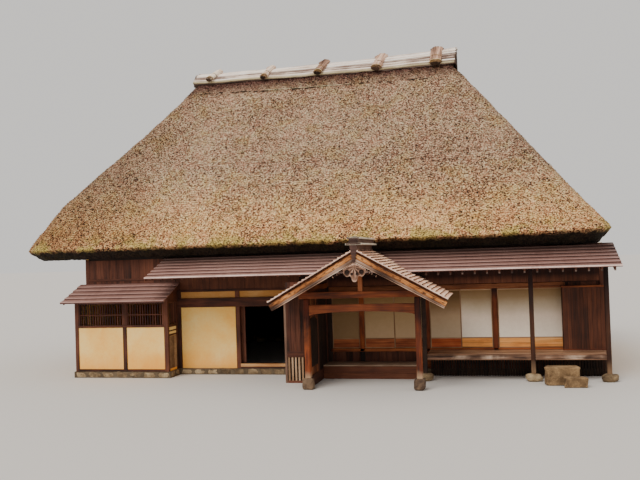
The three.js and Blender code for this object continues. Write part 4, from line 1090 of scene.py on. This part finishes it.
def add_verandah():
    """Boards on a worn edge beam with thin strips, posts on round stones, the shutter box and the steps."""
    x0, x1 = 2.03, 6.955
    floor = boarding((x0, x1), (-1.05, -0.022), (0.712, 0.75), 0.2, 191, axis=0)
    piece("floor_boards", floor, "worn_floor", replaces=["verandah_floor"])
    beam = blocks([x0, -1.055, 0.598], [x1, -0.93, 0.712], 0, 0.012, 192)
    piece("edge_beam", beam, "worn_edge", replaces=["verandah_edge_beam"])
    strips = blocks([[x0, -1.06, 0.588], [x0, -1.058, 0.716]], [[x1, -1.04, 0.604], [x1, -1.0, 0.752]],
                    0, 0.005, 189)
    piece("edge_strips", strips, "worn_floor")
    posts = np.array([1.97, 4.925, 6.895])
    lo, hi = at(posts - 0.06, -1.08, 0.2), at(posts + 0.06, -0.96, 3.17)
    piece("verandah_posts", blocks(lo[1:], hi[1:], 2, 0.012, 193), "brown_posts",
          replaces=[f"verandah_post_{i}" for i in (1, 2, 3)])
    piece("shaded_verandah_post", blocks(lo[0], hi[0], 2, 0.012, 190), "shade_dark_wood")
    pads = stones(at(posts, -1.02, 0.105), [0.24, 0.185, 0.115], 194, 0.75, 40, 20)
    piece("verandah_pads", pads, "field_stone", smooth=True)
    shutters = [boarding((5.8, 6.94), (-0.33, -0.318), (0.76, 2.54), 0.11, 196, rough=0.004),
                boarding((5.79, 5.801), (-0.32, -0.03), (0.76, 2.54), 0.11, 197)]
    piece("shutter_boards", shutters, "shutter_boards")
    rails = blocks([[5.77, -0.35, 2.52], [5.78, -0.345, 0.751]], [[6.945, -0.02, 2.56], [6.945, -0.02, 0.79]],
                   0, 0.006, 198)
    piece("shutter_rails", rails, "red_beams")
    steps = [stones([5.63, -1.505, 0.24], [0.45, 0.26, 0.25], 199, 0.13, 48, 28),
             stones([5.95, -1.9, 0.13], [0.3, 0.15, 0.135], 200, 0.15, 48, 28)]
    piece("step_stones", steps, "old_step", replaces=["verandah_step"], smooth=True)


# Porch: x and y of its two posts, x of its ridge, the height and slope of its roof, half its width, how far
# its bargeboards reach from the middle, and y at the roof's two ends.

porch = SimpleNamespace(left=-1.085, right=1.95, y=-2.5, mid=0.435, peak=3.79, slope=0.56, half=2.39,
                        reach=2.36, front=-3.3, back=-0.75)


def add_porch_frame():
    """Two posts on stones, a tie and plates, the king post and the arched beam between the posts."""
    p = porch
    x, y = np.array([p.left, p.right]), p.y
    posts = blocks(at(x - 0.068, y - 0.088, 0.3), at(x + 0.088, y + 0.088, 2.47), 2, 0.02, 211)
    piece("porch_posts", posts, "worn_red_posts", replaces=["porch_post_left", "porch_post_right"])
    feet = stones(at(x, y, 0.155), [0.16, 0.16, 0.165], 212, 0.45, 28, 16)
    piece("porch_pads", feet, "post_stone", replaces=["porch_stone_left", "porch_stone_right"],
          smooth=True)
    plates = [blocks([p.left - 0.19, y - 0.07, 2.47], [p.right + 0.19, y + 0.07, 2.65], 0, 0.012, 213)]
    for x, z, stop, high, seed in ((p.mid, 3.53, p.back, 3.66, 215), (p.left, 2.65, -0.021, 2.8, 216),
                                   (p.right, 2.65, -1.081, 2.8, 217)):
        plates.append(blocks([x - 0.06, p.front + 0.09, z], [x + 0.06, stop, high], 1, 0.01, seed))
    piece("porch_timbers", plates, "red_beams", replaces=["porch_roof_frame"])
    # The king post's lighter wood is painted light against the gable's shade.
    king = blocks([p.mid - 0.06, y - 0.06, 2.645], [p.mid + 0.06, y + 0.06, 3.55], 2, 0.01, 214)
    piece("porch_king_post", king, "king_post")
    # The arched beam: its underside rises 10 cm from the ends, as half an ellipse.
    t = np.linspace(0, 1, 40)
    x = (p.left + 0.0905 + t * (p.right - p.left - 0.161))[:, None]
    foot = (2.005 + 0.1 * np.sqrt(np.maximum(0, 1 - (2 * t - 1) ** 2)))[:, None]
    z = foot + (2.3 - foot) * [0, 0.06, 0.12, 0.5, 0.9, 1]
    front = at(x, y - 0.06 + np.array([0.012, 0, 0, 0, 0, 0.01]), z)
    piece("arched_beam", slab(front, at(x, y + 0.06, z)), "red_beams", replaces=["porch_arched_beam"])


def porch_line(s, lift, side):
    """Points on a porch slope: s metres down from the peak, lift metres off the top face."""
    c = 1 / math.hypot(1, porch.slope)
    k = porch.slope * c
    return porch.mid + side * (s * c + lift * k), porch.peak - s * k + lift * c


def porch_back(z):
    """How far back a row at height z may run: to the metal roof's skin, or under its edge."""
    edge, foot, rise = LEAN_TO
    return -1.16 if z < 3.05 else float(np.clip(edge + (z - foot - METAL) / rise, -1.66, porch.back))


def add_porch_roof():
    """Shingles in rows down each slope: every row overlaps the one below, with split edges, uneven widths and
    butts that stand 2 cm clear. Under them lie boards and rafters, and over them the layers of the ridge."""
    front = porch.front
    length = porch.half * math.hypot(1, porch.slope)
    rows = 22
    step = length / rows
    for side, name in ((-1, "left"), (1, "right")):
        laid = []
        rng = np.random.default_rng(221 + side)
        for row in range(rows):
            stop = (row + 1) * step
            start = stop - step
            back = porch_back(porch_line(start, 0, side)[1])
            count = max(2, int((back - front) / 0.14))
            cuts = np.linspace(front, back, count + 1)
            cuts[1:-1] += rng.uniform(-0.035, 0.035, count - 1)
            y = (cuts[:-1] + cuts[1:]) / 2
            stop = np.minimum(stop + rng.uniform(-0.006, 0.008, count), length)
            x0, z0 = porch_line(max(start - 0.05, 0.01), -0.034, side)
            x1, z1 = porch_line(stop, 0.008 + rng.uniform(-0.004, 0.003, count), side)
            laid.append((at(x0, y, z0), at(x1, y, z1), np.diff(cuts) - 0.005))
        shingles = sticks(*map(np.concatenate, zip(*laid)), 0.03, Y, 0.003, 223)
        # Painted light and shade: a shingle is darker up where the next row's butt shades it, pale at its lower
        # edge where the light falls, and dark on its shaded butt.
        light_and_shade = np.repeat([0.1, 0.1, 1.1, -0.7], 8)
        shingles["tone"] = np.tile(light_and_shade, len(shingles["tone"]) // 32) + (shingles["tone"] - 0.5) * 0.45
        piece(f"shingles_{name}", shingles, "shingles")
        deck = []
        ends = np.linspace(0.0, length - 0.03, 13)
        for s0, s1 in zip(ends[:-1], ends[1:]):
            x, z = porch_line((s0 + s1) / 2, -0.038, side)
            deck.append(sticks([x, front + 0.01, z], [x, porch_back(z - 0.03), z], s1 - s0 - 0.004, 0.018,
                               [side, 0, -porch.slope], 0.003, 230 + len(deck)))
        piece(f"porch_boards_{name}", deck, "dark_boards", replaces=[f"porch_roof_{name}"])
        ys = np.arange(front + 0.14, -1.2, 0.3)
        (xa, za), (xb, zb) = (porch_line(s, -0.07, side) for s in (0.06, length - 0.05))
        rafters = sticks(at(xa, ys, za), at(xb, ys, zb), 0.045, 0.04, Y, 0.004, 240)
        piece(f"porch_rafters_{name}", rafters, "red_beams")
        (xa, za), (xb, zb) = (porch_line(s, -0.014, side) for s in (0.0, length))
        edge = sticks([xa, front - 0.012, za], [xb, front - 0.012, zb], 0.02, 0.024, Y, 0.003, 241)
        piece(f"pale_edge_{name}", edge, "split_edge")
    # The ridge's layers: the lowest and highest z of each, and its half width.
    layers = {"ridge_core": [(3.70, 3.895, 0.08), (3.94, 4.05, 0.125)],
              "ridge_plates": [(3.892, 3.94, 0.215), (4.05, 4.088, 0.17), (4.088, 4.106, 0.07)]}
    for name, layer in layers.items():
        ridge = [boarding((porch.mid - half, porch.mid + half), (front - 0.02, porch.back), (z0, z1), half * 2,
                          int(z0 * 100), axis=1, rough=0.002) for z0, z1, half in layer]
        piece(name, ridge, name, replaces=["porch_ridge"] if name == "ridge_core" else ())
    z0, z1, half = np.array([(3.9, 3.936, 0.2), (3.94, 4.05, 0.12), (4.054, 4.084, 0.16)]).T
    lo, hi = at(porch.mid - half, front - 0.025, z0), at(porch.mid + half, front - 0.018, z1)
    piece("plate_fronts", blocks(lo[[0, 2]], hi[[0, 2]], 0, 0.003, 243), "ridge_core")
    v = np.linspace(1, 0, 12)[:, None]
    face = at(porch.mid + (0.012 + 0.09 * v ** 0.8) * [-1, 1], front - 0.0245, 3.41 + 0.46 * v)
    shape = [slab(face, face + [0, 0.035, 0]), blocks(lo[1], hi[1], 0, 0.003, 242)]
    piece("ridge_face", shape, "ridge_front")


def plank_curve(side, top, bottom, y0, light_and_shade):
    """A bargeboard band: top and bottom are metres below the slope's underside as functions of the way down,
    and the face is slightly rounded at its edges. The last argument gives the tone of each row from the top
    edge down, which paints light and shade."""
    s = np.linspace(0.0, porch.reach, 40)[:, None]
    v = np.array([0.0, 0.05, 0.5, 0.95, 1.0])
    below = top(s) * (1 - v) + bottom(s) * v
    # The foot is cut square: lower points stop nearer the middle.
    along = s * (1 - 0.42 * below / porch.reach)
    x = porch.mid + side * (along + 0.0003)
    z = porch.peak - 0.1003 - porch.slope * along - below
    front = at(x, y0 + 0.006 * (v % 1 == 0), z)
    local = at(s * 1.15 + side * 7 + 9, v * 0.18 + 3, 5)
    return slab(front, at(x, porch.front + 0.07, z), local, light_and_shade + 0.25 * np.sin(s * 5 + side))


def add_gable():
    """Bargeboards in two bands, the lower one greyer and proud, and a carved drop where they meet."""
    y0 = porch.front + 0.02
    deep = lambda s: np.interp(s, [0, 0.8, 1.6, porch.reach], [0.25, 0.234, 0.224, 0.214])
    split = lambda s: np.interp(s, [0, porch.reach], [0.56, 0.68]) * deep(s)
    for side, name in ((-1, "left"), (1, "right")):
        # The row tones paint shade: the upper band darkest along its top edge under the shingles.
        upper = plank_curve(side, lambda s: 0 * s, split, y0, (-0.6, 0.4, 0.7, 0.3, 0.0))
        lower = plank_curve(side, split, lambda s: deep(s) - 0.018, y0 - 0.012, (0.4, 0.5, 0.4, 0.2, 0.0))
        strip = plank_curve(side, lambda s: deep(s) - 0.014, deep, y0 - 0.016, 0.5)
        piece(f"bargeboard_{name}_upper", upper, "orange_boards", replaces=[f"bargeboard_{name}"])
        piece(f"bargeboard_{name}_lower", lower, "grey_band")
        piece(f"bargeboard_{name}_strip", strip, "bound_straw")
    # The drop hangs under the boards: a middle point, a lobe on each side, and a sunken eye in each lobe.
    gx = np.linspace(-0.31, 0.31, 97)[:, None]
    high = 3.425 - porch.slope * np.abs(gx)
    low = np.interp(np.abs(gx), [0, 0.04, 0.065, 0.085, 0.11, 0.15, 0.2, 0.235, 0.27, 0.295, 0.31],
                    [2.925, 2.935, 2.97, 3.05, 3.085, 3.08, 3.065, 3.085, 3.12, 3.17, 3.24])
    v = np.linspace(0, 1, 56)
    gz = low * (1 - v) + high * v
    hole = lambda cx, cz, r: np.exp(-(np.hypot(np.abs(gx) - cx, gz - cz) / r) ** 4)
    eye = hole(0.19, 3.185, 0.052) + 0.9 * hole(0.07, 3.135, 0.028)
    around = np.hypot(np.abs(gx) - 0.19, gz - 3.185)
    rolls = np.exp(-(around / 0.12) ** 2) * np.cos(around * 95)
    veins = np.exp(-(np.hypot(gx, gz - 3.2) / 0.14) ** 2) * np.cos(np.arctan2(gz - 3.3, gx) * 9)
    edge = np.clip(np.minimum(v, 1 - v) * 9, 0, 1)
    relief = 0.008 * rolls + 0.006 * veins - 0.02 * eye + 0.01 * edge
    front, back = (at(porch.mid + gx, y, gz) for y in (y0 - 0.024 - relief, y0 - 0.0003))
    # Painted shade in the sunken eyes, painted highlight along the top and bottom rims.
    drop = slab(front, back, tone=0.5 + 0.5 * veins - 3.0 * eye + 0.6 * (1 - edge))
    piece("carved_drop", drop, "carved_wood", replaces=["gable_pendant"], smooth=True)
    # On each side a thin arm with beads runs out below the bargeboard.
    t = np.linspace(0, 1, 49)
    paths = [at(porch.mid + side * (0.3 + 0.29 * t), y0 - 0.0185, 3.215 - 0.165 * t) for side in (-1, 1)]
    bead = sum(np.exp(-((t - c) / 0.04) ** 2) for c in (0.12, 0.35, 0.56, 0.93))
    arms = tubes(np.stack(paths), 0.006 + 0.02 * bead, 10, seed=252)
    arms["tone"] = np.tile(np.concatenate([np.repeat(1.2 * bead - 0.6, 10), [0.5, 0.5]]), 2)
    piece("carved_arms", arms, "carved_wood", smooth=True)


def add_porch_walls():
    """The closet left of the porch: upright boards over a rail, pale slats below, and a bleached corner post.
    Then the porch's side wall and the step inside."""
    x0, x1 = -2.005, -1.125
    boards = [boarding((x0 + 0.07, x1), (-1.54, -1.52), (0.9, 2.9), 0.13, 261),
              boarding((x0 + 0.07, x1), (-1.5, -1.48), (0.9, 2.9), 0.3, 262),
              boarding((-2.003, -1.99), (-1.46, -0.065), (0.2, 2.3), 0.2, 263),
              boarding((-1.95, -1.936), (-1.46, -0.065), (0.2, 2.3), 0.2, 264)]
    piece("closet_boards", boards, "dark_boards", replaces=["closet_wall"])
    corner = blocks([x0, -1.542, 0.0], [x0 + 0.07, -1.46, 2.55], 2, 0.01, 265)
    piece("closet_corner", corner, "bleached_post")
    rails = blocks([[x0 + 0.07, -1.55, 0.74], [x0 + 0.07, -1.545, 0.0]], [[x1, -1.47, 0.9], [x1, -1.47, 0.07]],
                   0, 0.008, 266)
    piece("closet_rails", rails, "dark_boards")
    xs = np.arange(x0 + 0.12, x1 - 0.03, 0.1)
    slats = sticks(at(xs, -1.52, 0.06), at(xs, -1.52, 0.75), 0.054, 0.03, X, 0.005, 267)
    piece("closet_slats", slats, "pale_slats")
    # Behind the slats, boards painted dark with shade.
    piece("closet_dark", boarding((x0 + 0.05, x1), (-1.49, -1.475), (0.02, 0.8), 0.3, 268), "shade_dark_wood")
    # The porch's side wall: a frame round a recessed panel with an arched head, painted dark with shade.
    xa, xb = -1.1245, -1.05
    y0, y1 = -2.4097, -0.061
    top = 2.6485
    near, far = (boarding((xa + 0.02, xb - 0.02), ends, (0.32, top - 0.05), 0.2, seed)
                 for ends, seed in (((y0, -1.31), 269), ((-1.3, y1), 275)))
    rails = blocks(at(xa, y0, [0.0, top - 0.16, 1.95]), at(xb, y1, [0.32, top, 2.06]), 1, 0.008, 270)
    uprights = blocks(at(xa, [y0, -1.36, -0.14], 0.3), at(xb, [y0 + 0.07, -1.27, y1], top), 2, 0.008, 271)
    # These boards take the head beam's lighter wood: painted light in the porch's shade.
    piece("porch_side_boards", near, "head_beam", replaces=["porch_side_wall"])
    piece("shaded_side_boards", far, "shade_panel_wood")
    piece("porch_side_frame", [rails, uprights], "dark_boards")
    gy = np.linspace(-2.32, -1.38, 30)[:, None]
    arch = 1.72 + 0.2 * np.sqrt(np.maximum(0, 1 - ((gy + 1.85) / 0.48) ** 2))
    face = at(xb - 0.004, gy, 0.55 + (arch - 0.55) * np.linspace(0, 1, 20))
    piece("arched_panel", slab(face, face - [0.02, 0, 0]), "shade_panel_wood")
    step = boarding((-1.049, 1.82), (-0.8, -0.06), (0.372, 0.41), 0.25, 272, axis=0)
    piece("porch_step_top", step, "grey_timber", replaces=["porch_step"])
    risers = [boarding((-1.049, 1.82), (-0.785, -0.765), (0.0, 0.372), 0.19, 273, axis=0),
              boarding((1.78, 1.8), (-0.78, -0.07), (0.0, 0.372), 0.19, 274, axis=1)]
    piece("porch_step_front", risers, "smoky_boards")


# Footing stones, and timbers on the sides that the photograph doesn't show.

def add_footing():
    """A course of rounded stones along each run of the footing, in front of a darker bed. A run is its two
    ends and the direction that is inward from it."""
    runs = [((-5.9, -0.06), (1.98, -0.06), (0, 1)), ((-9.2, -0.81), (-5.91, -0.81), (0, 1)),
            ((-9.2, -0.8), (-9.2, 8.93), (1, 0)), ((6.985, -0.06), (6.985, 8.93), (-1, 0)),
            ((-9.2, 8.925), (6.985, 8.925), (0, -1)), ((-5.91, -0.8), (-5.91, -0.06), (-1, 0))]
    centres, halves = [], []
    rng = np.random.default_rng(281)
    for a, b, inward in np.array(runs, float):
        length = math.hypot(*(b - a))
        count = max(2, int(length / 0.42))
        x, y = (a + (np.arange(count)[:, None] + 0.5) / count * (b - a) + 0.085 * inward).T
        centres.append(at(x, y, 0.095))
        half = length / count / 2 * rng.uniform(0.94, 1.06, count)
        halves.append(at(half, 0.1, 0.1) if inward[1] else at(0.1, half, 0.1))
    footing = stones(np.concatenate(centres), np.concatenate(halves), 282, 0.45, 16, 9)
    piece("footing_stones", footing, "field_stone", smooth=True)


def add_plain_sides():
    """Posts and rails laid over the clay of the end walls and the back, one bay apart as on the front."""
    left, right, back = -9.15, 6.945, 8.885    # faces of the walls
    half, post, rail = 0.065, 0.014, 0.012    # of a post's width, and how proud posts and rails stand
    posts = [(x, y - half, x + post, y + half) for x in (left - post, right)
             for y in (0.05, KEN, 2 * KEN, 3 * KEN, 4 * KEN, 8.8)]
    posts += [(x - half, back, x + half, back + post) for x in (-9.08, *(np.arange(-4, 4) * KEN), 6.87)]
    x0, y0, x1, y1 = np.array(posts).T
    timbers = [blocks(at(x0, y0, 0.19), at(x1, y1, 3.75), 2, 0.005, 291)]
    for z0, z1 in ((0.2, 0.34), (1.55, 1.66), (2.45, 2.6)):
        lo, hi = at([left - rail, right], -0.01, z0), at([left, right + rail], 8.87, z1)
        timbers += [blocks(lo, hi, 1, 0.004, 292),
                    blocks([left + 0.01, back, z0], [right - 0.005, back + rail, z1], 0, 0.004, 293)]
    piece("side_timbers", timbers, "dark_boards")
    # Inside, the lining and the floor planks are painted dark with shade.
    lining = [boarding((-9.0, -1.99), (8.74, 8.755), (0.2, 3.7), 0.3, 295),
              boarding((-1.98, 6.8), (8.74, 8.755), (0.755, 3.7), 0.3, 296)]
    piece("back_lining", lining, "shade_dark_wood")
    planks = boarding((-1.965, 6.84), (0.125, 8.78), (0.75, 0.758), 0.24, 294, axis=1)
    piece("floor_planks", planks, "shade_dark_wood")


for add in (add_thatch, add_ridge, add_ropes, add_lean_to, add_front, add_bay, add_door, add_screens,
            add_verandah, add_porch_frame, add_porch_roof, add_gable, add_porch_walls, add_footing,
            add_plain_sides):
    add()

# Solids that stay in sight: walls of clay, and timber painted dark with shade and stone behind the pieces.
KEPT = {
    "clay_wall": ["bay_front_wall", "bay_right_wall", "bay_left_wall", "front_clay_wall", "left_wall",
                  "right_wall", "back_wall"],
    "shade_dark_wood": ["front_wall_left", "upper_wall_left", "upper_wall_right", "front_board_wall",
                   "raised_floor", "shutter_box"],
    "mortar_bed": ["stone_footing"],
}
for look, names in KEPT.items():
    for name in names:
        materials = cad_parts[name].data.materials
        materials.clear()
        materials.append(LOOK[look])
